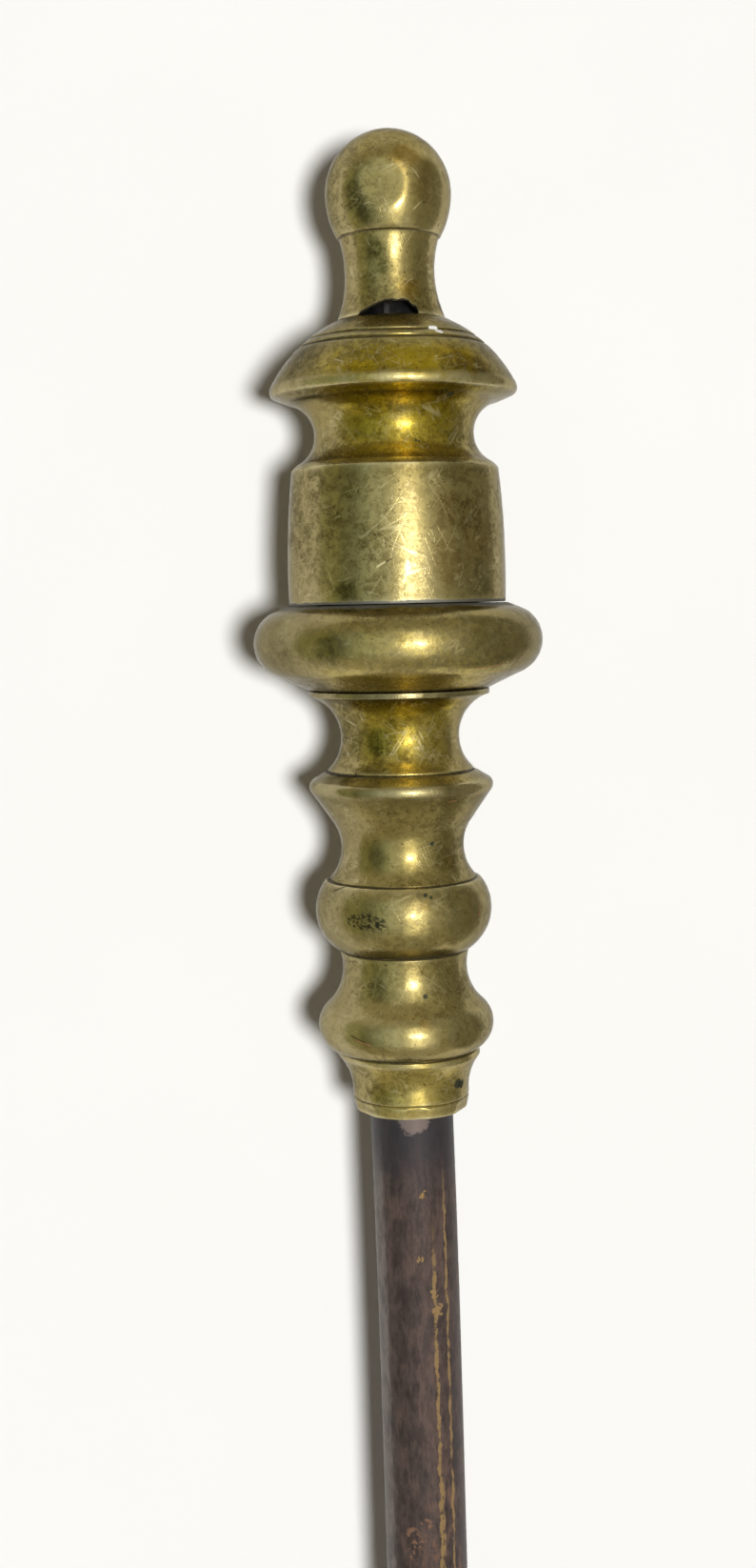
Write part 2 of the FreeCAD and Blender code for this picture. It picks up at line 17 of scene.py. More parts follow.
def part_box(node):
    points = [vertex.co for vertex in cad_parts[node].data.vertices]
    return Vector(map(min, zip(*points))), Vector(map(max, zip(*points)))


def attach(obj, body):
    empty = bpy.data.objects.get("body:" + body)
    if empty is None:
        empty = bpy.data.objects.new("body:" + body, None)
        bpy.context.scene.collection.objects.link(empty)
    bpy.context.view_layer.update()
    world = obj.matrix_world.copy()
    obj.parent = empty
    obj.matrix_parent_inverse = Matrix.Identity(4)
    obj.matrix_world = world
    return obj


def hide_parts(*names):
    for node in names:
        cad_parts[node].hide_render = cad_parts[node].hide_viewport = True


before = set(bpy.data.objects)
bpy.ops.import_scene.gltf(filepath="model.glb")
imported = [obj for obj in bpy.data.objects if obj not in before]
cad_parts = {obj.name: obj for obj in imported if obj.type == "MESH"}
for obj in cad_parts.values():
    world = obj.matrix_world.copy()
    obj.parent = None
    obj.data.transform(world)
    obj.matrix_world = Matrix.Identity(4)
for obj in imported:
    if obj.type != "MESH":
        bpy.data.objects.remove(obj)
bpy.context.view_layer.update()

MM = 0.001

# Least length to divide by, start of rays outside the part, and shifts of the noise for each seed
TINY = 1e-9
RAY_START = 0.1
NOISE_SHIFT = (3.17, 1.73, 2.39)
BLOW_SHIFT = (2.71, 1.37, 3.91)

# The photograph's frame and its camera
PHOTO_WIDTH = 794
PHOTO_HEIGHT = 1646
FOCAL_PIXELS = 1909
SENSOR_MM = 36
CAMERA_PLACE = Vector((-3.5, 305.7, 294.75)) * MM
CAMERA_TILT = math.radians(5.7)
CAMERA_ROLL = math.radians(1.28)
CLIP_START = 10 * MM

# Light: a small lamp above the camera and right of it for shadows, and a broader one for highlights
KEY_PLACE = Vector((68, 291, 462)) * MM
KEY_RADIUS = 36 * MM
KEY_POWER = 39.0
KEY_COLOUR = (1.0, 0.995, 0.98)
GLOW_PLACE = Vector((104, 296, 462)) * MM
GLOW_RADIUS = 56 * MM
GLOW_POWER = 9.0
GLOW_COLOUR = (1.0, 0.985, 0.93)
# Least fall of a ray that is still evened out over the floor
LEAST_FALL = 0.02

# The room that the metal mirrors, by degrees from overhead, left to right
ROOM_FILL = 0.12
ROOM_FILL_COLOUR = (1.0, 0.87, 0.70)
ROOM_STOPS = [
    (-90, (0.48, 0.48, 0.26)),
    (-66, (0.41, 0.41, 0.20)),
    (-61, (0.25, 0.27, 0.14)),
    (-45, (0.30, 0.34, 0.27)),
    (-32, (0.58, 0.67, 0.58)),
    (-22, (0.86, 0.93, 0.90)),
    (20, (0.86, 0.89, 0.82)),
    (38, (0.80, 0.79, 0.69)),
    (54, (0.45, 0.43, 0.32)),
    (71, (0.25, 0.25, 0.19)),
    (90, (0.25, 0.23, 0.16)),
]
ROOM_ENDS = (0.55, 0.52, 0.40)
ROOM_ENDS_FROM = (0.45, 0.8)

# Strip of light along the tool in that room, above the tool and to the right
STRIP_LEAN = math.radians(15)
STRIP_HALF = math.radians(20)
STRIP_ENDS = (0.5, 0.75)
STRIP_COLOUR = (3.0, 2.9, 2.5)

# Dark card beside the handle, which only the metal mirrors
CARD_PLACE = 60 * MM
CARD_HEIGHT = 45 * MM
CARD_SPAN = (180 * MM, 420 * MM)
CARD_TONES = ((0.24, 0.23, 0.16), (0.32, 0.30, 0.21))

# Pale floor, a hair below the tool
FLOOR_HALF = 60.0
FLOOR_DROP = 0.05 * MM
FLOOR_TONES = ((0.86, 0.865, 0.86), (0.9, 0.905, 0.9))
FLOOR_ROUGH = 0.9
FLOOR_SHINE = 0.1

# Turned brass
AXIS_HEIGHT = (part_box("torus_ring")[0].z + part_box("torus_ring")[1].z) / 2
COLLAR_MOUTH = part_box("baluster_stem")[0].y
RING_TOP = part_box("cap_barrel")[0].y
CAP_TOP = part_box("cap_barrel")[1].y
SEGMENTS = 224
PROFILE_STEP = 0.04 * MM
PROFILE_LEAST = 8
EDGE_WEAR = 0.1 * MM
HOLLOW_REACH = 0.55 * MM
HOLLOW_FULL = 0.1 * MM
RELIEF_MOST = 2
RING_SPACING = 0.45 * MM
BORE_SPACING = 4 * MM
RING_TURN = math.radians(7)
HIDDEN_DEPTH = 0.5 * MM
WOBBLE = {"size": 11 * MM, "depth": 0.05 * MM}
RIPPLE = {"size": 3.2 * MM, "depth": 0.012 * MM}

# Filed flats at the collar's mouth, the gap at the foot of the knob and the flat worn on its ball
CRIMP_FLATS = 6
CRIMP_ACROSS_FLATS = 16.3 * MM
CRIMP_HEIGHT = 2.6 * MM
CRIMP_TURN = math.radians(4)
NOTCH_FADE = 5 * MM
NOTCH_RAGGED = 0.15
NOTCH_GRAIN = 0.9 * MM
NOTCH_SEED = 44
# Painted shade on the walls of that gap: heights above the cap where it is gone and where it is full, and
# the gap at which it is full
GAP_SHADE_GONE = 0.45 * MM
GAP_SHADE_FULL = 0.15 * MM
GAP_SHADE_GAP = 0.3 * MM
NOTCH_MM = [
    (-4.9, 0), (-4.5, 0.35), (-3.2, 1.05), (-1.8, 1.5), (-0.9, 1.87),
    (1.3, 1.92), (2.75, 1.72), (2.95, 1.15), (3.75, 0.8), (3.9, 0),
]
KNOB_SET = -0.15 * MM
KNOB_BEND = 8 * MM
BALL_RADIUS = 9.3 * MM
BALL_FLAT_PIXEL = (401, 190)
BALL_FLAT_HALF_ANGLE = math.radians(22)
BALL_FLAT_SHARE = 0.9
BALL_FLAT_EASE = 0.22 * MM

# Bent collar, and the bar that leans away below it
COLLAR_HEIGHT = 9.35 * MM
COLLAR_SET = 0.57 * MM
COLLAR_BEND = [(0, 1), (0.89, 0.79), (1, 0)]
BAR_LEAN = 0.022

# Shaft: tang, bar, cranked neck and palm
BAR_RADIUS = 6.35 * MM
BAR_LENGTH = 435 * MM
SOCKET_DEPTH = 16 * MM
TANG_RADIUS = 4 * MM
TANG_END = 84.65 * MM
SCREW_RADIUS = 2.5 * MM
CRANK_LENGTH = 58 * MM
CRANK_END_WIDTH = 17 * MM
CRANK_END_THICKNESS = 4.6 * MM
RIB_LENGTH = 26 * MM
RIB_END_WIDTH = 8 * MM
PALM_THICKNESS = 3.4 * MM
PALM_BACK_OVERLAP = 7 * MM
PALM_EDGE_RADIUS = 1.0 * MM
PALM_FOOT_RADIUS = 0.4 * MM
PALM_TIP_RADIUS = 5 * MM
PLATE_ABOVE = 6 * MM
PLATE_BELOW = 8 * MM
SHOULDER_GAP = 0.3 * MM
SHAFT_SIDES = 72
BAR_SPACING = 2.5 * MM
CRANK_SPACING = 0.8 * MM
TIP_SHARES = np.linspace(0.95, 0.06, 14)
SHARP_ANGLE = math.radians(50)

# Hammer marks and wear of the shaft
BAR_WAVE = {"size": 16 * MM, "depth": 0.03 * MM}
PALM_BLOW_SIZE = 7.5 * MM
PALM_BLOW_DEPTH = 0.28 * MM
WORKED_ABOVE = 30 * MM
WORKED_BELOW = 15 * MM
MOUTH_EASE = 1 * MM
BEATEN_FROM = 0.6
PALM_WORN_RUN = 10 * MM
PALM_WORN_EDGE = (1.6 * MM, 0.6 * MM)

# Pan
SHEET = 1.5 * MM
PAN_LENGTH = 168 * MM
FLOOR_FRONT_HALF = 59 * MM
FLOOR_BACK_HALF = 50 * MM
PAN_CORNER_RADIUS = 26 * MM
BEND_RADIUS = 4 * MM
WALL_LEAN = math.radians(22)
RIM_CLEARANCE = 0.3 * MM
RIM_HEIGHT = AXIS_HEIGHT - BAR_RADIUS - RIM_CLEARANCE
CHEEK_LENGTH = 20 * MM
CHEEK_HEIGHT = 6 * MM
LIP_EDGE = 0.5 * MM
LIP_BEVEL = 7 * MM
LIP_RUN = 0.7 * MM
PATH_MARGIN = 5 * MM
SIDE_ROWS = 96
CORNER_ROWS = 28
FLOOR_COLUMNS = 64
WALL_COLUMNS = 14
RIM_CROWN = 0.3 * MM
LIP_CROWN = 0.1 * MM
LIP_CROWN_REACH = 0.5 * MM

# Hammer marks and wear of the pan
PAN_BLOW_SIZE = 11 * MM
PAN_BLOW_DEPTH = 0.3 * MM
PAN_WAVE = {"size": 42 * MM, "depth": 0.16 * MM}
LIP_CALM = 14 * MM
LIP_BEATEN = 0.15
RIM_DIP = 0.25 * MM
RIM_DIP_SIZE = 23 * MM
RIM_WORN = (2.5 * MM, 0.2 * MM)
LIP_WORN = 26 * MM
LIP_BARE = 0.75

PAN_BACK = COLLAR_MOUTH - BAR_LENGTH
PAN_FRONT = PAN_BACK - PAN_LENGTH
CRANK_END = PAN_BACK - CRANK_LENGTH
PALM_ROOT = CRANK_END + PALM_BACK_OVERLAP
PALM_MIDDLE = SHEET + PALM_THICKNESS / 2
PALM_TOP = SHEET + PALM_THICKNESS


def smooth_step(low, high, value):
    """0 below low, 1 above high, and an even ease between them."""
    share = np.clip((np.asarray(value) - low) / (high - low), 0, 1)
    return share * share * (3 - 2 * share)


def field(measure, points, size, shift, seed):
    """A measure of each point, with the points divided by this size and shifted by the seed."""
    start = Vector([seed * part for part in shift])
    values = [measure(Vector(point) / size + start) for point in points.reshape(-1, 3)]
    return np.array(values).reshape(points.shape[:-1])


def noise_field(points, size, seed):
    """Smooth noise between about -1 and 1 at each point, with lumps of this size."""
    return field(noise.noise, points, size, NOISE_SHIFT, seed)


def lumps(points, seed, size, depth):
    """Depth of smooth lumps at each point, never below 0."""
    return depth * (1 + noise_field(points, size, seed))


def hammer_field(points, size, seed):
    """Shallow overlapping hollows, 0 at a blow's middle and 1 at the ridges between blows."""
    nearest = field(lambda place: noise.voronoi(place)[0][0], points, size, BLOW_SHIFT, seed)
    return np.clip(nearest, 0, 1) ** 2


def sway(station):
    """Sideways set of the bent collar and of the bar below it, which dies out at the pan."""
    below = np.clip(COLLAR_MOUTH - station, 0, BAR_LENGTH)
    bar = (COLLAR_SET + BAR_LEAN * below) * (1 - below / BAR_LENGTH) ** 2
    above = np.clip((station - COLLAR_MOUTH) / COLLAR_HEIGHT, 0, 1)
    return bar * np.interp(above, *zip(*COLLAR_BEND))


def wrapped(angle, turn=2 * math.pi):
    """The angle less whole turns, from half a turn before 0 to half a turn after it."""
    return (angle + turn / 2) % turn - turn / 2


def circle(count):
    """Angles of this many points, evenly round."""
    return np.arange(count) * 2 * math.pi / count


def quads(*corners):
    """Faces through rows of corners, without doubled corners."""
    return [list(dict.fromkeys(int(index) for index in face)) for face in zip(*corners)]


def add_object(name, data):
    """New object in the scene."""
    made = bpy.data.objects.new(name, data)
    bpy.context.scene.collection.objects.link(made)
    return made


def surface_tree(node):
    """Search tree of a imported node's surface."""
    return BVHTree.FromObject(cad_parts[node], bpy.context.evaluated_depsgraph_get())


TREES = {node: surface_tree(node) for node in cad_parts}
PALM_TIP = TREES["shaft"].ray_cast(Vector((0, PAN_FRONT, PALM_MIDDLE)), Vector((0, 1, 0)))[0].y


# Camera, and places named by a pixel of the photograph

def camera_matrix():
    turn = Matrix.Rotation(-CAMERA_TILT, 4, "X") @ Matrix.Rotation(-CAMERA_ROLL, 4, "Z")
    return Matrix.Translation(CAMERA_PLACE) @ turn


def make_camera():
    data = bpy.data.cameras.new("camera")
    data.sensor_width = SENSOR_MM
    data.lens = SENSOR_MM * FOCAL_PIXELS / PHOTO_HEIGHT
    data.clip_start = CLIP_START
    camera = add_object("camera", data)
    camera.matrix_world = camera_matrix()
    bpy.context.scene.camera = camera


def photo_point(pixel):
    """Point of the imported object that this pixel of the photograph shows."""
    across = (pixel[0] - PHOTO_WIDTH / 2) / FOCAL_PIXELS
    down = (pixel[1] - PHOTO_HEIGHT / 2) / FOCAL_PIXELS
    heading = camera_matrix().to_3x3() @ Vector((across, -down, -1)).normalized()
    hits = [tree.ray_cast(CAMERA_PLACE, heading) for tree in TREES.values()]
    return min((hit for hit in hits if hit[0]), key=lambda hit: hit[3])[0]


# Turned brass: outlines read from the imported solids

class Outline:
    """Outer and inner radius of a turned node along its axis."""

    LOOKS = [math.radians(angle) for angle in range(100, 261, 20)]
    INNER_TURN = 0.01

    def __init__(self, node):
        self.tree = TREES[node]
        low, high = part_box(node)
        self.low = low.y
        self.high = high.y
        count = round((self.high - self.low) / PROFILE_STEP)
        self.stations = self.low + (np.arange(count) + 0.5) * (self.high - self.low) / count
        self.outer = np.array([self._outer(station) for station in self.stations])
        self.inner = np.array([self._inner(station) for station in self.stations])

    def _outer(self, station):
        return max(RAY_START - self._look(station, angle, inward=True)[0] for angle in self.LOOKS)

    def _inner(self, station):
        distance, facing = self._look(station, self.LOOKS[0] + self.INNER_TURN, inward=False)
        return distance if facing < 0 else 0.0

    def _look(self, station, angle, inward):
        """Distance of the first hit, and whether its face looks back (negative) or away."""
        out = Vector((math.sin(angle), 0, math.cos(angle)))
        centre = Vector((0, station, AXIS_HEIGHT))
        start = centre + out * RAY_START if inward else centre
        heading = -out if inward else out
        place, normal, _, distance = self.tree.ray_cast(start, heading)
        if place is None:
            return (RAY_START if inward else 0.0), 1.0
        return distance, normal.dot(heading)

    def section(self):
        """Half section as (station, radius) points, and whether it closes round a bore."""
        outside = np.column_stack([self.stations, self.outer])
        bored = self.inner > 0
        inside = np.column_stack([self.stations, self.inner])[bored][::-1]
        foot = [[self.low, inside[-1][1]], [self.low, self.outer[0]]]
        if bored.all():
            head = [[self.high, self.outer[-1]], [self.high, inside[0][1]]]
            return np.vstack([outside, head, inside, foot]), True
        pole = [[self.high, 0]]
        end = [[inside[0][0], 0]]
        return np.vstack([end, inside, foot, outside, pole]), False


def resampled(points, step, closed):
    """The line through these points, divided evenly."""
    if closed:
        points = np.vstack([points, points[:1]])
    runs = np.hypot(*np.diff(points, axis=0).T)
    points = points[np.concatenate([[True], runs > TINY])]
    length = np.concatenate([[0], np.cumsum(np.hypot(*np.diff(points, axis=0).T))])
    places = np.linspace(0, length[-1], max(PROFILE_LEAST, round(length[-1] / step)) + 1)
    if closed:
        places = places[:-1]
    return np.column_stack([np.interp(places, length, points[:, k]) for k in (0, 1)])


def blurred(points, reach, step, closed):
    """The line with its corners eased over this reach."""
    half = int(4 * reach / step)
    weights = np.exp(-0.5 * (np.arange(-half, half + 1) * step / reach) ** 2)
    weights /= weights.sum()
    if closed:
        padded = np.vstack([points[-half:], points, points[:half]])
    else:
        mirror = np.array([1, -1])
        padded = np.vstack([points[half:0:-1] * mirror, points, points[-2:-half - 2:-1] * mirror])
    return np.column_stack([np.convolve(padded[:, k], weights, "valid") for k in (0, 1)])


def thinned(points, hidden):
    """Indices of the points that the line's bends and the finish need."""
    heading = np.arctan2(*np.gradient(points, axis=0).T)
    turns = np.abs(np.diff(np.unwrap(heading)))
    runs = np.hypot(*np.diff(points, axis=0).T)
    kept = [0]
    turned = 0.0
    walked = 0.0
    for index in range(1, len(points) - 1):
        turned += turns[index - 1]
        walked += runs[index - 1]
        if turned > RING_TURN or walked > (BORE_SPACING if hidden[index] else RING_SPACING):
            kept.append(index)
            turned = 0.0
            walked = 0.0
    return kept + [len(points) - 1]


class Turned:
    """Rings of a turned piece: station, radius and angle of every vertex, and what the finish needs."""

    def __init__(self, node):
        self.outline = Outline(node)
        section, self.closed = self.outline.section()
        fine = resampled(section, PROFILE_STEP, self.closed)
        worn = blurred(fine, EDGE_WEAR, PROFILE_STEP, self.closed)
        broad = blurred(fine, HOLLOW_REACH, PROFILE_STEP, self.closed)
        heading = np.gradient(worn, axis=0)
        heading /= np.hypot(*heading.T)[:, None]
        outward = np.column_stack([-heading[:, 1], heading[:, 0]])
        relief = ((worn - broad) * outward).sum(axis=1) / HOLLOW_FULL
        hidden = worn[:, 1] < self.outer_radius(worn[:, 0]) - HIDDEN_DEPTH
        kept = thinned(worn, hidden)
        self.line = worn[kept]
        self.outward = outward[kept]
        self.relief = relief[kept]
        self.shown = 1.0 - hidden[kept]
        if not self.closed:
            self.line[[0, -1], 1] = 0
        shape = (len(self.line), SEGMENTS)
        self.angle = np.broadcast_to(circle(SEGMENTS), shape).copy()
        self.station = np.broadcast_to(self.line[:, :1], shape).copy()
        self.radius = np.broadcast_to(self.line[:, 1:], shape).copy()
        self.shift = np.zeros(shape)
        self.gap_shade = np.zeros(shape)

    def outer_radius(self, station):
        return np.interp(station, self.outline.stations, self.outline.outer)

    def points(self):
        """Place of every vertex."""
        x = self.shift + self.radius * np.sin(self.angle)
        z = AXIS_HEIGHT + self.radius * np.cos(self.angle)
        return np.stack([x, self.station, z], axis=-1)

    def sink(self, depth):
        """Press the surface in by this depth, where it shows."""
        depth = depth * self.shown[:, None]
        self.station -= depth * self.outward[:, :1]
        self.radius -= depth * self.outward[:, 1:]

    def spread(self, values):
        """One value of the section on all vertices of its ring."""
        return np.broadcast_to(values[:, None], self.radius.shape)

    def mesh(self, name, layers):
        """The closed mesh, with each layer as a vertex attribute."""
        rings = len(self.line)
        ids = np.arange(rings * SEGMENTS).reshape(rings, SEGMENTS)
        pairs = list(zip(range(rings), range(1, rings)))
        if self.closed:
            pairs.append((rings - 1, 0))
        else:
            ids[[0, -1]] = ids[[0, -1], :1]
        after = np.roll(ids, -1, axis=1)
        faces = []
        for low, high in pairs:
            faces += quads(ids[low], after[low], after[high], ids[high])
        return build_mesh(name, self.points().reshape(-1, 3), faces, layers)


def build_mesh(name, points, faces, layers):
    """Smooth mesh object in the scene, without loose vertices."""
    mesh = bpy.data.meshes.new(name)
    mesh.from_pydata([tuple(point) for point in points], [], faces)
    for layer, values in layers.items():
        attribute = mesh.attributes.new(layer, "FLOAT", "POINT")
        attribute.data.foreach_set("value", np.asarray(values, np.float32).ravel())
    work = bmesh.new()
    work.from_mesh(mesh)
    loose = [vertex for vertex in work.verts if not vertex.link_faces]
    bmesh.ops.delete(work, geom=loose, context="VERTS")
    work.to_mesh(mesh)
    work.free()
    mesh.shade_smooth()
    return add_object(name, mesh)


# Wear of the turned brass

def wear(turned, seed):
    """Hand-worn unevenness: a slow wobble and finer ripples, always into the metal."""
    points = turned.points()
    turned.sink(lumps(points, seed, **WOBBLE) + lumps(points, seed + 1, **RIPPLE))


def crimp(turned):
    """Flats filed round the collar's mouth, running out up the flare."""
    step = 2 * math.pi / CRIMP_FLATS
    off_flat = wrapped(turned.angle - CRIMP_TURN, step)
    rise = (turned.station - COLLAR_MOUTH) / CRIMP_HEIGHT
    flat = CRIMP_ACROSS_FLATS / 2
    mouth = turned.outer_radius(COLLAR_MOUTH + CRIMP_HEIGHT)
    reach = (flat + (mouth - flat) * rise) / np.cos(off_flat)
    filed = np.where(rise < 1, np.minimum(turned.radius, reach), turned.radius)
    turned.radius = np.where(turned.shown[:, None] > 0, filed, turned.radius)


def bend_collar(turned):
    """Sideways set of the collar."""
    turned.shift = sway(turned.station)


def lean_knob(turned):
    """Sideways set of the knob on its screw."""
    turned.shift = KNOB_SET * smooth_step(CAP_TOP, CAP_TOP + KNOB_BEND, turned.station)


def notch(turned):
    """Chipped gap in the upper side of the knob's foot, with painted shading on the gap's walls."""
    across = turned.radius * np.sin(turned.angle)
    gap = np.interp(across / MM, *zip(*NOTCH_MM)) * MM
    gap *= 1 + NOTCH_RAGGED * noise_field(turned.points(), NOTCH_GRAIN, NOTCH_SEED)
    gap = np.where(np.cos(turned.angle) > 0, gap, 0)
    foot = smooth_step(CAP_TOP + GAP_SHADE_GONE, CAP_TOP + GAP_SHADE_FULL, turned.station)
    turned.gap_shade = RELIEF_MOST * foot * np.clip(gap / GAP_SHADE_GAP, 0, 1)
    share = np.clip(1 - (turned.station - CAP_TOP) / NOTCH_FADE, 0, 1)
    lifted = turned.station + gap * share
    slimmer = turned.outer_radius(lifted) - turned.outer_radius(turned.station)
    turned.radius += slimmer * turned.shown[:, None]
    turned.station = lifted


def flatten_ball(turned):
    """Flat that long use has worn on the upper side of the ball."""
    centre = np.array([0, turned.outline.high - BALL_RADIUS, AXIS_HEIGHT])
    facing = np.array(photo_point(BALL_FLAT_PIXEL)) - centre
    facing /= np.linalg.norm(facing)
    away = turned.points() - centre
    lean = (away @ facing) / np.maximum(np.linalg.norm(away, axis=-1), TINY)
    plane = BALL_RADIUS * math.cos(BALL_FLAT_HALF_ANGLE)
    depth = BALL_RADIUS - plane / np.maximum(lean, 0.5)
    eased = (depth + np.hypot(depth, BALL_FLAT_EASE)) / 2
    turned.sink(eased * BALL_FLAT_SHARE)


# Millimetres above the collar's mouth, share of yellow tarnish, and painted light and shade kept on top and
# on the flanks: a factor on the metal's colour, above 1 in recesses and low on some bands and on the flanks,
# partly also duller metal
TONES = [
    (0, 0.45, 1.3, 1), (5, 0.45, 1.15, 1), (9.2, 0.45, 1.1, 1),
    (9.5, 0.3, 0.85, 0.85), (24, 0.25, 0.95, 0.9),
    (25, 0.3, 0.85, 0.75), (35, 0.3, 0.85, 0.75),
    (36, 0.3, 0.9, 0.85), (46, 0.3, 0.85, 0.8),
    (48.5, 0.35, 0.5, 0.6), (50.4, 0.35, 0.55, 0.6),
    (50.7, 0.35, 2.0, 0.8), (52.2, 0.45, 1.8, 0.85),
    (54, 0.6, 1.2, 0.85), (58, 0.7, 1.1, 0.85), (62.8, 0.85, 1.1, 0.9),
    (63.1, 0.4, 0.3, 0.4), (64.2, 0.5, 0.3, 0.4),
    (64.4, 0.5, 1.6, 0.7), (66, 0.5, 1.5, 0.7),
    (68, 0.5, 0.95, 0.65), (72, 0.45, 0.9, 0.65), (74, 0.4, 0.7, 0.65), (76.5, 0.3, 0.9, 0.8),
    (77, 0.12, 1, 0.95), (93, 0.2, 0.95, 0.95), (95, 0.25, 0.75, 0.9), (96.6, 0.3, 0.75, 0.9),
    (97.3, 0.65, 1.7, 0.95), (99, 0.7, 1.6, 0.95), (100.5, 0.8, 1.05, 0.95),
    (104.5, 0.9, 1, 0.9), (106, 0.9, 1.3, 0.9), (107, 0.95, 0.9, 0.75),
    (107.6, 1, 0.75, 0.6), (109, 1, 0.8, 0.6),
    (109.8, 1, 1.15, 0.65), (112, 1, 0.85, 0.6),
    (113, 0.6, 0.65, 0.6), (116, 0.5, 0.72, 0.65), (117.9, 0.45, 0.85, 0.8),
    (118.1, 0.25, 0.9, 1), (130, 0.25, 0.95, 1), (145, 0.45, 0.85, 0.9),
]
# Middle of the top and the angles where it gives way to the flanks: the yellow tint kept to the top is a
# painted reflection, and the top and flank columns of painted light meet here
LIT_TOP_MIDDLE = math.radians(6)
LIT_TOP_FULL = math.radians(30)
LIT_TOP_GONE = math.radians(52)
TINT_FLANK = 0.3
SOLDER_REACH = 0.9 * MM


def turned_layers(turned):
    """Where dirt gathers, with painted shading on the walls of the gap under the knob; where edges are
    rubbed bright; where the metal is yellow, more on the top as a painted reflection; a factor of painted
    light and shading by band, on top and on the flanks, partly duller metal; and where it is soldered.
    """
    above, tint, top, flank = np.array(TONES).T
    station = turned.line[:, 0]
    level = (station - COLLAR_MOUTH) / MM
    off_middle = np.abs(wrapped(turned.angle - LIT_TOP_MIDDLE))
    on_top = smooth_step(LIT_TOP_GONE, LIT_TOP_FULL, off_middle)
    painted_light_top = turned.spread(np.interp(level, above, top))
    painted_light_flank = turned.spread(np.interp(level, above, flank))
    return {
        "hollow": np.maximum(turned.spread(np.clip(-turned.relief, 0, RELIEF_MOST)), turned.gap_shade),
        "crest": turned.spread(np.clip(turned.relief, 0, RELIEF_MOST)) * (1 - np.minimum(turned.gap_shade, 1)),
        "tint": turned.spread(np.interp(level, above, tint)) * (TINT_FLANK + (1 - TINT_FLANK) * on_top),
        "painted_light_and_dullness": painted_light_flank + (painted_light_top - painted_light_flank) * on_top,
        "solder": turned.spread(np.clip(1 - np.abs(station - RING_TOP) / SOLDER_REACH, 0, 1)),
    }


# Materials

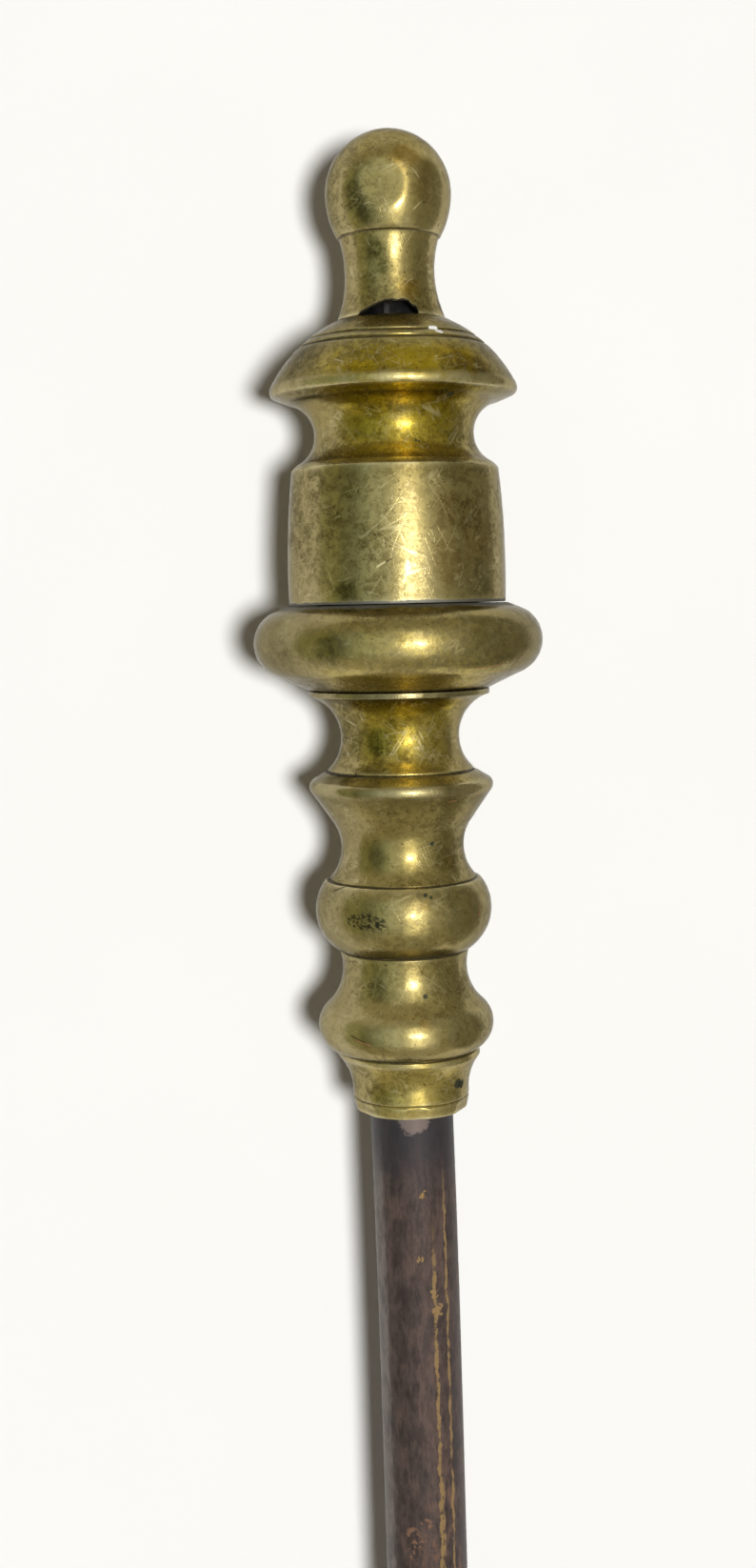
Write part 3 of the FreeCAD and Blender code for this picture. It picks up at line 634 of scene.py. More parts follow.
class Nodes:
    """Shorthand for the node tree of one material."""

    SPOT_EDGE = 0.15
    SMUDGE_CORE = 0.35
    HAIR_LENGTHS = (1, 9, 9)
    HAIR_EDGES = (0.012, 0.002)

    def __init__(self, name):
        self.material = bpy.data.materials.new(name)
        self.material.use_nodes = True
        self.tree = self.material.node_tree
        self.tree.nodes.clear()
        self.shader = self.add("ShaderNodeBsdfPrincipled")
        output = self.add("ShaderNodeOutputMaterial")
        self.tree.links.new(self.shader.outputs["BSDF"], output.inputs["Surface"])
        self.place = self.add("ShaderNodeTexCoord").outputs["Object"]

    def add(self, kind, **settings):
        node = self.tree.nodes.new(kind)
        for key, value in settings.items():
            setattr(node, key, value)
        return node

    def feed(self, socket, value):
        if isinstance(value, bpy.types.NodeSocket):
            self.tree.links.new(value, socket)
        else:
            socket.default_value = value

    def set(self, **inputs):
        """Set or link inputs of the shader, with spaces in their names as underscores."""
        for key, value in inputs.items():
            self.feed(self.shader.inputs[key.replace("_", " ")], value)

    def made(self, kind, *values, **settings):
        """First output of a new node, with these values on its first inputs."""
        node = self.add(kind, **settings)
        for socket, value in zip(node.inputs, values):
            self.feed(socket, value)
        return node.outputs[0]

    def math(self, operation, *values, clamp=False):
        return self.made("ShaderNodeMath", *values, operation=operation, use_clamp=clamp)

    def times(self, first, *others):
        for other in others:
            first = self.math("MULTIPLY", first, other)
        return first

    def most(self, first, *others):
        """The greatest of these values."""
        for other in others:
            first = self.math("MAXIMUM", first, other)
        return first

    def scaled(self, value, factor, offset):
        """The value times the factor, plus the offset."""
        return self.math("MULTIPLY_ADD", value, factor, offset)

    def along(self, axis):
        node = self.add("ShaderNodeSeparateXYZ")
        self.feed(node.inputs[0], self.place)
        return node.outputs[axis]

    def vector(self, operation, first, second):
        node = self.add("ShaderNodeVectorMath", operation=operation)
        self.feed(node.inputs[0], first)
        self.feed(node.inputs["Scale" if operation == "SCALE" else 1], second)
        return node.outputs["Value" if operation in ("DISTANCE", "DOT_PRODUCT") else "Vector"]

    def stretched(self, factors):
        return self.vector("MULTIPLY", self.place, factors)

    def aslant(self, turn, lengths):
        """Place turned by these angles and then divided by these lengths."""
        node = self.add("ShaderNodeMapping", vector_type="TEXTURE")
        self.feed(node.inputs["Vector"], self.place)
        self.feed(node.inputs["Rotation"], turn)
        self.feed(node.inputs["Scale"], lengths)
        return node.outputs[0]

    def off(self, value, middle):
        """How far a value is from a middle."""
        return self.math("ABSOLUTE", self.math("SUBTRACT", value, middle))

    def noise(self, size, detail=3.0, roughness=0.55, place=None):
        """Noise from 0 to 1, with lumps of this size in millimetres."""
        node = self.add("ShaderNodeTexNoise")
        self.feed(node.inputs["Vector"], place or self.place)
        self.feed(node.inputs["Scale"], 1 / (size * MM))
        self.feed(node.inputs["Detail"], detail)
        self.feed(node.inputs["Roughness"], roughness)
        return node.outputs[0]

    def layer(self, name):
        return self.add("ShaderNodeAttribute", attribute_name=name).outputs["Fac"]

    def ease(self, value, low, high, start=0.0, end=1.0):
        """Smooth step of a value between low and high, on to start and end."""
        settings = (value, low, high, start, end)
        return self.made("ShaderNodeMapRange", *settings, interpolation_type="SMOOTHSTEP")

    def darken(self, factor, colour, tone):
        """Colour seen through a film of this tone."""
        return self.blend(factor, colour, tone, "MULTIPLY")

    def blend(self, factor, first, second, kind="MIX"):
        node = self.add("ShaderNodeMix", data_type="RGBA", blend_type=kind)
        self.feed(node.inputs["Factor"], factor)
        for socket, colour in zip([s for s in node.inputs if s.type == "RGBA"], (first, second)):
            self.feed(socket, colour if isinstance(colour, bpy.types.NodeSocket) else (*colour, 1))
        return next(s for s in node.outputs if s.type == "RGBA")

    def ramp(self, share, stops):
        """Colour by a share, 0 at -90 degrees and 1 at 90, between stops of degrees and colour."""
        node = self.add("ShaderNodeValToRGB")
        elements = node.color_ramp.elements
        while len(elements) < len(stops):
            elements.new(0.5)
        for element, (angle, colour) in zip(elements, stops):
            element.position = (angle + 90) / 180
            element.color = (*colour, 1)
        self.feed(node.inputs[0], share)
        return node.outputs["Color"]

    def within(self, gap, radius, ragged):
        """1 where a distance is less than this radius, with a ragged edge."""
        edge = self.scaled(ragged, -radius, 1.5 * radius)
        soft = self.SPOT_EDGE * radius
        return self.ease(self.math("SUBTRACT", edge, gap), -soft, soft)

    def spot(self, pixel, radius, ragged):
        """1 within a ragged spot of this radius in millimetres, at a pixel of the photograph."""
        gap = self.vector("DISTANCE", self.place, photo_point(pixel))
        return self.within(gap, radius * MM, ragged)

    def smudge(self, pixel, radius, ragged):
        """1 at a pixel of the photograph, fading unevenly to 0 at this radius in millimetres."""
        reach = radius * MM
        gap = self.vector("DISTANCE", self.place, photo_point(pixel))
        uneven = self.scaled(ragged, -reach, 0.5 * reach)
        return self.ease(self.math("ADD", gap, uneven), reach, self.SMUDGE_CORE * reach)

    def gash(self, first, last, radius, ragged):
        """1 along a ragged line between two pixels of the photograph."""
        start = photo_point(first)
        run = photo_point(last) - start
        way = self.vector("SUBTRACT", self.place, start)
        walked = self.vector("DOT_PRODUCT", way, run)
        share = self.math("MULTIPLY", walked, 1 / run.length_squared, clamp=True)
        gap = self.vector("DISTANCE", way, self.vector("MULTIPLY", share, run))
        return self.within(gap, radius * MM, ragged)

    def hairlines(self, size, turn):
        """Thin long scratches that lie one way."""
        drawn = self.noise(size, detail=1, place=self.aslant(turn, self.HAIR_LENGTHS))
        return self.ease(self.off(drawn, 0.5), *self.HAIR_EDGES)

    def bumps(self, *heights):
        """Normal of a surface with these heights on it, each with its depth in millimetres."""
        normal = None
        for height, depth in heights:
            node = self.add("ShaderNodeBump")
            node.inputs["Strength"].default_value = 1
            node.inputs["Distance"].default_value = depth * MM
            self.feed(node.inputs["Height"], height)
            if normal:
                self.feed(node.inputs["Normal"], normal)
            normal = node.outputs["Normal"]
        return normal


BRASS = (0.37, 0.31, 0.155)
BRASS_EDGE = (0.54, 0.53, 0.52, 1)
BRASS_METAL = 0.92
BRASS_ROUGH = (0.15, 0.25)
BRASS_BRIGHT = (0.66, 0.58, 0.34)
BRASS_DIRT_AND_SHADE = (0.03, 0.026, 0.016)
YELLOW_TARNISH_AND_TOP_REFLECTION = (1.0, 0.88, 0.06)
DULL_FILM = (0.6, 0.58, 0.53)
OLIVE_FILM = (0.44, 0.43, 0.28)
SPECK_FILM = (0.2, 0.16, 0.10)
AMBER_TARNISH_AND_GLINT = (1.0, 0.83, 0.48)
BROWN_DARK_REFLECTION = (0.74, 0.66, 0.55)
GREEN_TARNISH_AND_DARK_REFLECTION = (0.36, 0.38, 0.27)
GREY_DULLING_AND_DARK_REFLECTION = (0.62, 0.63, 0.62)
SOLDER = (0.20, 0.195, 0.175)
COPPER = (0.42, 0.21, 0.11)
PAINT_WHITE = (0.8, 0.79, 0.74)
VERDIGRIS = (0.03, 0.043, 0.035)

# Marks on the brass: pixels of the photograph, and radii in millimetres
PAINT_MARKS = [((453, 344), 0.45), ((456, 345), 0.6), ((460, 346.5), 0.55), ((463, 348), 0.35)]
# Smudges: amber ones are partly orange tarnish and partly painted amber glints beside highlights; brown ones
# are painted dark reflections on the right sides; green and grey ones are partly tarnish and dulling and
# partly painted dark reflections
SMUDGES = {
    AMBER_TARNISH_AND_GLINT: [((424, 163), 3.0), ((430, 302), 2.4), ((447, 950), 1.2), ((447, 1074), 1.4)],
    BROWN_DARK_REFLECTION: [
        ((448, 190), 3.6), ((476, 374), 3.2), ((505, 385), 3.4), ((480, 537), 4.4),
        ((472, 590), 4.6), ((502, 562), 4.6), ((472, 905), 1.8),
    ],
    GREEN_TARNISH_AND_DARK_REFLECTION: [
        ((371, 196), 1.9), ((375, 212), 2.2), ((386, 226), 2.2), ((394, 262), 2.0),
        ((401, 280), 1.8), ((362, 622), 2.8), ((345, 684), 3.6), ((398, 780), 2.4),
    ],
    GREY_DULLING_AND_DARK_REFLECTION: [
        ((318, 376), 5.0), ((505, 612), 4.2), ((292, 690), 4.5), ((522, 686), 5.6),
        ((395, 900), 2.4), ((396, 1040), 2.4),
    ],
}
DARK_SPOTS = [
    ((479, 1136), 0.9), ((482, 1137), 0.8), ((473, 414), 0.6), ((468, 410), 0.4), ((447, 940), 0.35),
    ((453, 942), 0.28), ((447, 1046), 0.4), ((454, 886), 0.35), ((437, 462), 0.22), ((440, 463), 0.2),
]
PITTED_SPOTS = [
    ((370, 967), 1.0), ((380, 968), 1.3), ((390, 969), 1.3), ((399, 970), 0.9),
    ((365, 818), 0.8), ((372, 815), 0.6), ((460, 412), 1.0),
]
GASHES = {
    BRASS_DIRT_AND_SHADE: [
        # Among the dark lines, ((460, 316), (465, 328)) is painted shade at the end of the gap under the
        # knob, and ((403, 591), (412, 586)) the painted shaded side of a dent
        ((460, 316), (465, 328), 0.3), ((464, 176), (470, 196), 0.14), ((350, 935), (362, 931), 0.12),
        ((404, 968), (484, 970), 0.07), ((403, 591), (412, 586), 0.12), ((392, 434), (442, 431), 0.07),
        ((368, 1087), (384, 1095), 0.12),
    ],
    BRASS_BRIGHT: [
        # ((396, 595), (404, 590)) is the painted highlight on the lit side of that dent
        ((396, 595), (404, 590), 0.15), ((431, 173), (443, 190), 0.08), ((432, 222), (446, 208), 0.08),
    ],
    COPPER: [
        ((500, 702), (530, 697), 0.12), ((505, 952), (503, 962), 0.16), ((372, 1092), (390, 1098), 0.14),
        ((472, 842), (505, 832), 0.14),
    ],
}


def brass_stains(nodes, patch, speck):
    """Colour of the metal under yellow, dull and olive films, with brown specks; the yellow kept mostly to
    the top as a painted reflection; smudges of tarnish and dulling with painted amber glints and dark
    reflections; all scaled by the factor of painted light and shading.
    """
    broad = nodes.noise(13, detail=3)
    cloud = nodes.noise(6, detail=5, roughness=0.65)
    mottle = nodes.noise(1.1, detail=6, roughness=0.8)
    # Yellow tarnish, kept mostly to the top as a painted reflection
    tint = nodes.times(nodes.layer("tint"), nodes.ease(cloud, 0.28, 0.5, 0.6, 1))
    colour = nodes.darken(tint, BRASS, YELLOW_TARNISH_AND_TOP_REFLECTION)
    dull = nodes.times(nodes.ease(mottle, 0.48, 0.55), nodes.ease(broad, 0.3, 0.6, 0.35, 0.9))
    colour = nodes.darken(dull, colour, DULL_FILM)
    tarnish = nodes.times(nodes.ease(broad, 0.42, 0.66), nodes.ease(patch, 0.44, 0.58))
    colour = nodes.darken(nodes.times(tarnish, 0.8), colour, OLIVE_FILM)
    uneven = nodes.ease(mottle, 0.4, 0.55, 0.55, 1)
    for film, places in SMUDGES.items():
        for pixel, radius in places:
            smudge = nodes.smudge(pixel, radius, cloud)
            colour = nodes.darken(nodes.times(smudge, uneven), colour, film)
    specks = nodes.times(nodes.ease(speck, 0.58, 0.66), nodes.ease(cloud, 0.35, 0.6, 0.25, 0.85))
    colour = nodes.darken(specks, colour, SPECK_FILM)
    # The colour is scaled by the painted light and shade of each band
    return nodes.vector("SCALE", colour, nodes.layer("painted_light_and_dullness")), tarnish, dull


def brass_marks(nodes, colour, rough, metal, ragged):
    """Stains, pits, scratches and flecks, with the painted shading and highlight of a dent and painted
    shading at the end of the gap under the knob, at the places where the photograph shows them.
    """
    pitting = nodes.ease(nodes.noise(0.5, detail=2), 0.46, 0.56)
    for pixel, radius in PITTED_SPOTS:
        mark = nodes.times(nodes.spot(pixel, radius, ragged), pitting)
        colour = nodes.blend(nodes.times(mark, 0.8), colour, BRASS_DIRT_AND_SHADE)
    for pixel, radius in DARK_SPOTS:
        mark = nodes.spot(pixel, radius, ragged)
        colour = nodes.blend(nodes.times(mark, 0.85), colour, VERDIGRIS)
        rough = nodes.most(rough, nodes.times(mark, 0.6))
    for stain, lines in GASHES.items():
        for first, last, radius in lines:
            mark = nodes.gash(first, last, radius, ragged)
            colour = nodes.blend(nodes.times(mark, 0.7), colour, stain)
            rough = nodes.most(rough, nodes.times(mark, 0.45))
    for pixel, radius in PAINT_MARKS:
        mark = nodes.spot(pixel, radius, 0.5)
        colour = nodes.blend(mark, colour, PAINT_WHITE)
        rough = nodes.most(rough, nodes.times(mark, 0.6))
        metal = nodes.times(metal, nodes.scaled(mark, -1, 1))
    return colour, rough, metal


SCRATCH_TURNS = (0.4, 1.1, 1.9, 2.6)
SCRATCH_SIZES = (1.4, 1.8, 2.2, 2.6)


def brass_scratches(nodes, patch):
    """Fine short scratches that lie in several ways, where the metal has been rubbed."""
    scratch = 0.0
    for size, turn in zip(SCRATCH_SIZES, SCRATCH_TURNS):
        scratch = nodes.most(nodes.hairlines(size, (0, 0, turn)), scratch)
    return nodes.times(scratch, nodes.ease(patch, 0.46, 0.6))


def brass_material():
    nodes = Nodes("aged_brass")
    patch = nodes.noise(4, detail=6, roughness=0.68)
    speck = nodes.noise(0.6, detail=4, roughness=0.75)
    ragged = nodes.noise(0.8, detail=2)
    rings = nodes.noise(0.9, detail=2, place=nodes.stretched((0.06, 2, 0.06)))
    colour, tarnish, dull = brass_stains(nodes, patch, speck)
    scratch = brass_scratches(nodes, patch)
    rubbed = nodes.times(nodes.layer("crest"), nodes.ease(patch, 0.3, 0.6, 0.1, 0.7))
    rubbed = nodes.most(nodes.math("MINIMUM", rubbed, 1.0), nodes.times(scratch, 0.45))
    colour = nodes.blend(nodes.times(rubbed, nodes.layer("painted_light_and_dullness")), colour, BRASS_BRIGHT)
    # Dirt in the hollows, with painted shade on the walls of the gap under the knob
    dirt_and_gap_shade = nodes.times(nodes.ease(nodes.layer("hollow"), 0.5, 1.3), nodes.ease(patch, 0.3, 0.5, 0.6, 1))
    dirt_and_gap_shade = nodes.times(dirt_and_gap_shade, nodes.ease(nodes.layer("tint"), 0.3, 0.9, 1, 0.4))
    colour = nodes.blend(dirt_and_gap_shade, colour, BRASS_DIRT_AND_SHADE)
    solder = nodes.ease(nodes.math("ADD", nodes.layer("solder"), patch), 0.85, 1.1)
    colour = nodes.blend(solder, colour, SOLDER)
    rough = nodes.ease(patch, 0.3, 0.7, *BRASS_ROUGH)
    rough = nodes.scaled(nodes.most(tarnish, dull), 0.1, rough)
    rough = nodes.scaled(nodes.most(dirt_and_gap_shade, solder), 0.3, rough)
    metal = nodes.scaled(dirt_and_gap_shade, -0.5, BRASS_METAL)
    colour, rough, metal = brass_marks(nodes, colour, rough, metal, ragged)
    normal = nodes.bumps((rings, 0.008), (speck, 0.022), (nodes.scaled(scratch, -1, 1), 0.006))
    nodes.set(Base_Color=colour, Metallic=metal, Roughness=rough, Normal=normal)
    nodes.set(Specular_Tint=BRASS_EDGE)
    return nodes.material


IRON_DARK = (0.028, 0.028, 0.03)
IRON_GREY = (0.085, 0.083, 0.083)
IRON_RUST = (0.085, 0.042, 0.022)
IRON_BARE = (0.30, 0.29, 0.275)
IRON_METAL = 0.8
IRON_ROUGH = (0.4, 0.66)


def dark_iron_material():
    nodes = Nodes("dark_iron")
    broad = nodes.noise(22, detail=4)
    patch = nodes.noise(4, detail=7, roughness=0.66)
    grain = nodes.noise(0.7, detail=3)
    colour = nodes.blend(nodes.ease(patch, 0.38, 0.7), IRON_DARK, IRON_GREY)
    rust = nodes.times(nodes.ease(broad, 0.48, 0.7), nodes.ease(patch, 0.4, 0.62))
    colour = nodes.blend(rust, colour, IRON_RUST)
    bare = nodes.times(nodes.layer("worn"), nodes.ease(patch, 0.36, 0.56))
    colour = nodes.blend(bare, colour, IRON_BARE)
    rough = nodes.scaled(bare, -0.12, nodes.ease(patch, 0.3, 0.7, *IRON_ROUGH))
    rough = nodes.scaled(rust, 0.15, rough)
    metal = nodes.scaled(rust, -0.6, IRON_METAL)
    normal = nodes.bumps((patch, 0.06), (grain, 0.02))
    nodes.set(Base_Color=colour, Metallic=metal, Roughness=rough, Normal=normal)
    return nodes.material


SHAFT_BROWN = (0.115, 0.078, 0.069)
SHAFT_DARK = (0.046, 0.034, 0.033)
SHAFT_BLUE = (0.028, 0.028, 0.036)
SHAFT_LEFT_REFLECTION = (0.22, 0.19, 0.175)
SHAFT_FIRE = (0.05, 0.045, 0.042)
SHAFT_SOOT = (0.025, 0.023, 0.021)
SHAFT_RUST = (0.18, 0.10, 0.065)
SHAFT_GOLD = (0.26, 0.17, 0.075)
SHAFT_GRAIN = (0.68, 0.66, 0.68)
SHAFT_METAL = 0.3
SHAFT_ROUGH = (0.46, 0.6)
SHAFT_SHINE = 0.35
BRAZE = (0.19, 0.15, 0.14)
BRAZE_MARK = ((434, 1176), 2.25)
GOLD_FLECKS = [
    ((444, 1254), 0.55), ((441, 1322), 0.4), ((455, 1357), 0.6), ((459, 1374), 0.8), ((466, 1377), 0.5),
]
RUST_SPOTS = [((433, 1612), 1.3), ((440, 1620), 1.3), ((434, 1632), 1.2), ((448, 1600), 1.0)]
STREAK_ANGLES = [22, 26, 42]
STREAK_STARTS = [14 * MM, 52 * MM, 6 * MM]
STREAK_WIDTHS = [0.085, 0.04, 0.07]
STREAK_WAVER = 0.2
STREAK_END = 120 * MM
STREAK_FADES = (12 * MM, 40 * MM)
BLUE_REACH = 15 * MM
REFLECTION_FLANK = math.radians(-52)
REFLECTION_EASE = 0.08
FIRE_START = 250 * MM


def streak(nodes, angle, start, width, knots):
    """Knotty, broken line of golden rust along the bar below the collar."""
    waver = nodes.noise(4, detail=4, place=nodes.stretched((0, 1, 0)))
    line = nodes.scaled(waver, -STREAK_WAVER, STREAK_WAVER / 2 - math.radians(angle))
    off = nodes.math("ABSOLUTE", nodes.math("ADD", nodes.layer("around"), line))
    mask = nodes.within(off, width / 2, nodes.ease(knots, 0.36, 0.64))
    station = nodes.along("Y")
    first = COLLAR_MOUTH - start
    last = COLLAR_MOUTH - STREAK_END
    below = nodes.ease(station, first, first - STREAK_FADES[0])
    above = nodes.ease(station, last - STREAK_FADES[1], last)
    return nodes.times(mask, nodes.ease(knots, 0.66, 0.5, 0.2, 0.9), below, above)


def shaft_patina(nodes, patch, broad):
    """Brown-black patina: drawn grain, blued at the collar, a painted pale reflection on the left flank,
    black near the pan.
    """
    fibre = nodes.noise(0.6, detail=4, roughness=0.7, place=nodes.stretched((1, 0.22, 1)))
    station = nodes.along("Y")
    colour = nodes.blend(nodes.ease(patch, 0.34, 0.66), SHAFT_DARK, SHAFT_BROWN)
    colour = nodes.darken(nodes.ease(fibre, 0.44, 0.62), colour, SHAFT_GRAIN)
    rust = nodes.times(nodes.ease(broad, 0.56, 0.74), nodes.ease(patch, 0.5, 0.64))
    colour = nodes.blend(rust, colour, SHAFT_RUST)
    # Painted pale reflection along the left flank of the bar
    flank = nodes.scaled(nodes.math("SUBTRACT", fibre, 0.5), 0.25, nodes.layer("around"))
    left_reflection = nodes.ease(flank, REFLECTION_FLANK + REFLECTION_EASE, REFLECTION_FLANK - REFLECTION_EASE, 0, 0.75)
    colour = nodes.blend(nodes.times(left_reflection, nodes.ease(patch, 0.38, 0.58, 0.35, 1)), colour, SHAFT_LEFT_REFLECTION)
    blue_full = COLLAR_MOUTH - 0.2 * BLUE_REACH
    blued = nodes.ease(station, COLLAR_MOUTH - BLUE_REACH, blue_full, 0, 0.8)
    colour = nodes.blend(blued, colour, SHAFT_BLUE)
    fire = nodes.ease(station, COLLAR_MOUTH - FIRE_START, PAN_BACK, 0, 0.85)
    black = nodes.blend(nodes.ease(patch, 0.4, 0.6), SHAFT_FIRE, SHAFT_SOOT)
    return nodes.blend(fire, colour, black), rust


def brown_iron_material():
    nodes = Nodes("brown_iron")
    broad = nodes.noise(14, detail=4, place=nodes.stretched((1, 0.4, 1)))
    patch = nodes.noise(2.6, detail=7, roughness=0.68, place=nodes.stretched((1, 0.5, 1)))
    ragged = nodes.noise(0.8, detail=2)
    knots = nodes.noise(1.3, detail=4, roughness=0.7, place=nodes.stretched((1, 0.7, 1)))
    colour, rust = shaft_patina(nodes, patch, broad)
    pitted = nodes.ease(ragged, 0.48, 0.56)
    for pixel, radius in RUST_SPOTS:
        rust = nodes.most(rust, nodes.times(nodes.spot(pixel, radius, ragged), pitted))
    colour = nodes.blend(rust, colour, SHAFT_RUST)
    gold = 0.0
    for angle, start, width in zip(STREAK_ANGLES, STREAK_STARTS, STREAK_WIDTHS):
        gold = nodes.most(streak(nodes, angle, start, width, knots), gold)
    for pixel, radius in GOLD_FLECKS:
        gold = nodes.most(gold, nodes.spot(pixel, radius, pitted))
    colour = nodes.blend(gold, colour, SHAFT_GOLD)
    braze = nodes.spot(*BRAZE_MARK, ragged)
    colour = nodes.blend(nodes.times(braze, 0.85), colour, BRAZE)
    worn = nodes.times(nodes.layer("worn"), nodes.ease(patch, 0.36, 0.6))
    colour = nodes.blend(worn, colour, IRON_BARE)
    crust = nodes.most(rust, gold)
    rough = nodes.scaled(crust, 0.2, nodes.ease(patch, 0.3, 0.7, *SHAFT_ROUGH))
    metal = nodes.scaled(crust, -SHAFT_METAL, SHAFT_METAL)
    normal = nodes.bumps((patch, 0.04), (crust, 0.03))
    nodes.set(Base_Color=colour, Metallic=metal, Roughness=rough, Normal=normal)
    nodes.set(Specular_IOR_Level=SHAFT_SHINE)
    return nodes.material


def floor_material():
    nodes = Nodes("pale_floor")
    soft = nodes.noise(60, detail=2)
    colour = nodes.blend(soft, *FLOOR_TONES)
    nodes.set(Base_Color=colour, Roughness=FLOOR_ROUGH, Specular_IOR_Level=FLOOR_SHINE)
    return nodes.material


# Stage: floor, card, lamps and room

def flat_sheet(name, corners, material):
    """Sheet with four corners."""
    sheet = build_mesh(name, corners, [(0, 1, 2, 3)], {})
    sheet.data.materials.append(material)
    return sheet


def make_floor():
    signs = [(-1, -1), (1, -1), (1, 1), (-1, 1)]
    corners = [(x * FLOOR_HALF, y * FLOOR_HALF, -FLOOR_DROP) for x, y in signs]
    floor = flat_sheet("floor", corners, floor_material())


def card_material():
    nodes = Nodes("dark_card")
    soft = nodes.noise(40, detail=2)
    colour = nodes.blend(soft, *CARD_TONES)
    nodes.set(Base_Color=(0, 0, 0, 1), Emission_Color=colour, Emission_Strength=1.0, Roughness=FLOOR_ROUGH)
    return nodes.material


def make_card():
    """Dark card that only mirror rays meet, for the dim right side of the room."""
    low, high = CARD_SPAN
    outline = [(low, 0), (high, 0), (high, CARD_HEIGHT), (low, CARD_HEIGHT)]
    corners = [(CARD_PLACE, y, z) for y, z in outline]
    card = flat_sheet("card", corners, card_material())
    for rays in ("camera", "diffuse", "transmission", "shadow"):
        setattr(card, "visible_" + rays, False)


class OwnNodes(Nodes):
    """The same shorthand on the node tree of a lamp or of the world."""

    def __init__(self, owner, shader, place):
        owner.use_nodes = True
        self.tree = owner.node_tree
        self.shader = self.tree.nodes[shader]
        self.place = self.add("ShaderNodeTexCoord").outputs[place]


def make_lamp(name, place, radius, power, colour):
    """Round lamp near the handle, evened out so that the whole floor is lit alike."""
    data = bpy.data.lights.new(name, "POINT")
    data.energy = power
    data.color = colour
    data.shadow_soft_size = radius
    nodes = OwnNodes(data, "Emission", "Normal")
    level = nodes.add("ShaderNodeLightFalloff")
    level.inputs["Strength"].default_value = 1
    fall = nodes.most(nodes.math("ABSOLUTE", nodes.along("Z")), LEAST_FALL)
    nodes.set(Strength=nodes.math("DIVIDE", level.outputs["Constant"], fall))
    lamp = add_object(name, data)
    lamp.location = place
    return lamp


def make_lamps():
    """A lamp for light and shadow that no metal mirrors, and a lamp for highlights alone."""
    key = make_lamp("key", KEY_PLACE, KEY_RADIUS, KEY_POWER, KEY_COLOUR)
    key.visible_glossy = False
    glow = make_lamp("glow", GLOW_PLACE, GLOW_RADIUS, GLOW_POWER, GLOW_COLOUR)
    glow.visible_diffuse = False


def make_room():
    """Room that the metal mirrors: pale overhead with a strip of light, dim at its sides and ends."""
    world = bpy.data.worlds.new("room")
    bpy.context.scene.world = world
    nodes = OwnNodes(world, "Background", "Generated")
    lean = nodes.math("ARCTAN2", nodes.along("X"), nodes.along("Z"))
    across = nodes.ramp(nodes.scaled(lean, 1 / math.pi, 0.5), ROOM_STOPS)
    length = nodes.math("ABSOLUTE", nodes.along("Y"))
    mirrored = nodes.blend(nodes.ease(length, *ROOM_ENDS_FROM), across, ROOM_ENDS)
    aside = nodes.ease(nodes.off(lean, STRIP_LEAN), 0, STRIP_HALF, 1, 0)
    strip = nodes.times(aside, nodes.ease(length, *STRIP_ENDS, 1, 0))
    mirrored = nodes.blend(strip, mirrored, STRIP_COLOUR)
    path = nodes.add("ShaderNodeLightPath").outputs
    seen = nodes.most(path["Is Camera Ray"], path["Is Glossy Ray"], path["Is Transmission Ray"])
    nodes.set(Color=nodes.blend(seen, ROOM_FILL_COLOUR, mirrored))
    nodes.set(Strength=nodes.ease(seen, 0, 1, ROOM_FILL, 1))


# Shaft

def palm_half_width(station):
    """Half the palm's width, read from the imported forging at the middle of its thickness."""
    start = Vector((RAY_START, station, PALM_MIDDLE))
    place = TREES["shaft"].ray_cast(start, Vector((-1, 0, 0)))[0]
    return place.x if place else 0.0


def round_ring(station, radius):
    angles = circle(SHAFT_SIDES)
    x = sway(station) + radius * np.cos(angles)
    return np.column_stack([x, np.full(SHAFT_SIDES, station), AXIS_HEIGHT + radius * np.sin(angles)])


def crank_oval(station):
    """Half width, height of the middle and half thickness of the neck at a station."""
    share = min(1, (PAN_BACK - station) / CRANK_LENGTH)
    drop = SHEET + CRANK_END_THICKNESS / 2 - AXIS_HEIGHT
    height = AXIS_HEIGHT + drop * (1 - math.cos(math.pi * share)) / 2
    slope = drop * math.pi / 2 * math.sin(math.pi * share) / CRANK_LENGTH
    half_width = BAR_RADIUS + share * (CRANK_END_WIDTH / 2 - BAR_RADIUS)
    half_thickness = BAR_RADIUS + share * (CRANK_END_THICKNESS / 2 - BAR_RADIUS)
    fade = max(0, (CRANK_END - station) / RIB_LENGTH)
    half_width += min(1, fade) * (RIB_END_WIDTH - CRANK_END_WIDTH) / 2
    half_thickness *= math.cos(math.pi / 2 * min(1, fade))
    return half_width, height, half_thickness * math.hypot(1, slope)


def eased_edge(inset, radius):
    """How far a rounded edge has dropped at this inset from the outline."""
    return radius - np.sqrt(radius ** 2 - np.clip(radius - inset, 0, radius) ** 2)


def forged_ring(station):
    """Section of the neck and palm: an oval that spreads into a flat plate with a rib on it."""
    angles = circle(SHAFT_SIDES)
    upper = np.sin(angles) >= 0
    oval_width, oval_height, oval_thickness = crank_oval(station)
    plate = float(smooth_step(PALM_ROOT + PLATE_ABOVE, PALM_ROOT - PLATE_BELOW, station))
    neck_width = oval_width if station > CRANK_END else 0
    plate_width = palm_half_width(station) if station < PALM_ROOT else 0
    half_width = max(neck_width, plate_width)
    x = half_width * np.cos(angles)
    bulge = np.sqrt(np.clip(1 - (x / oval_width) ** 2, 0, 1)) * oval_thickness
    oval = np.where(upper, oval_height + bulge, oval_height - bulge)
    inset = np.minimum(half_width - np.abs(x), station - PALM_TIP)
    top = PALM_TOP - eased_edge(inset, PALM_EDGE_RADIUS)
    bottom = SHEET + eased_edge(inset, PALM_FOOT_RADIUS)
    slab = np.where(upper, top, bottom)
    rib = np.where(upper & (np.abs(x) < oval_width), np.maximum(slab, oval), slab)
    z = oval + (rib - oval) * plate
    return np.column_stack([sway(station) + x, np.full(SHAFT_SIDES, station), z])


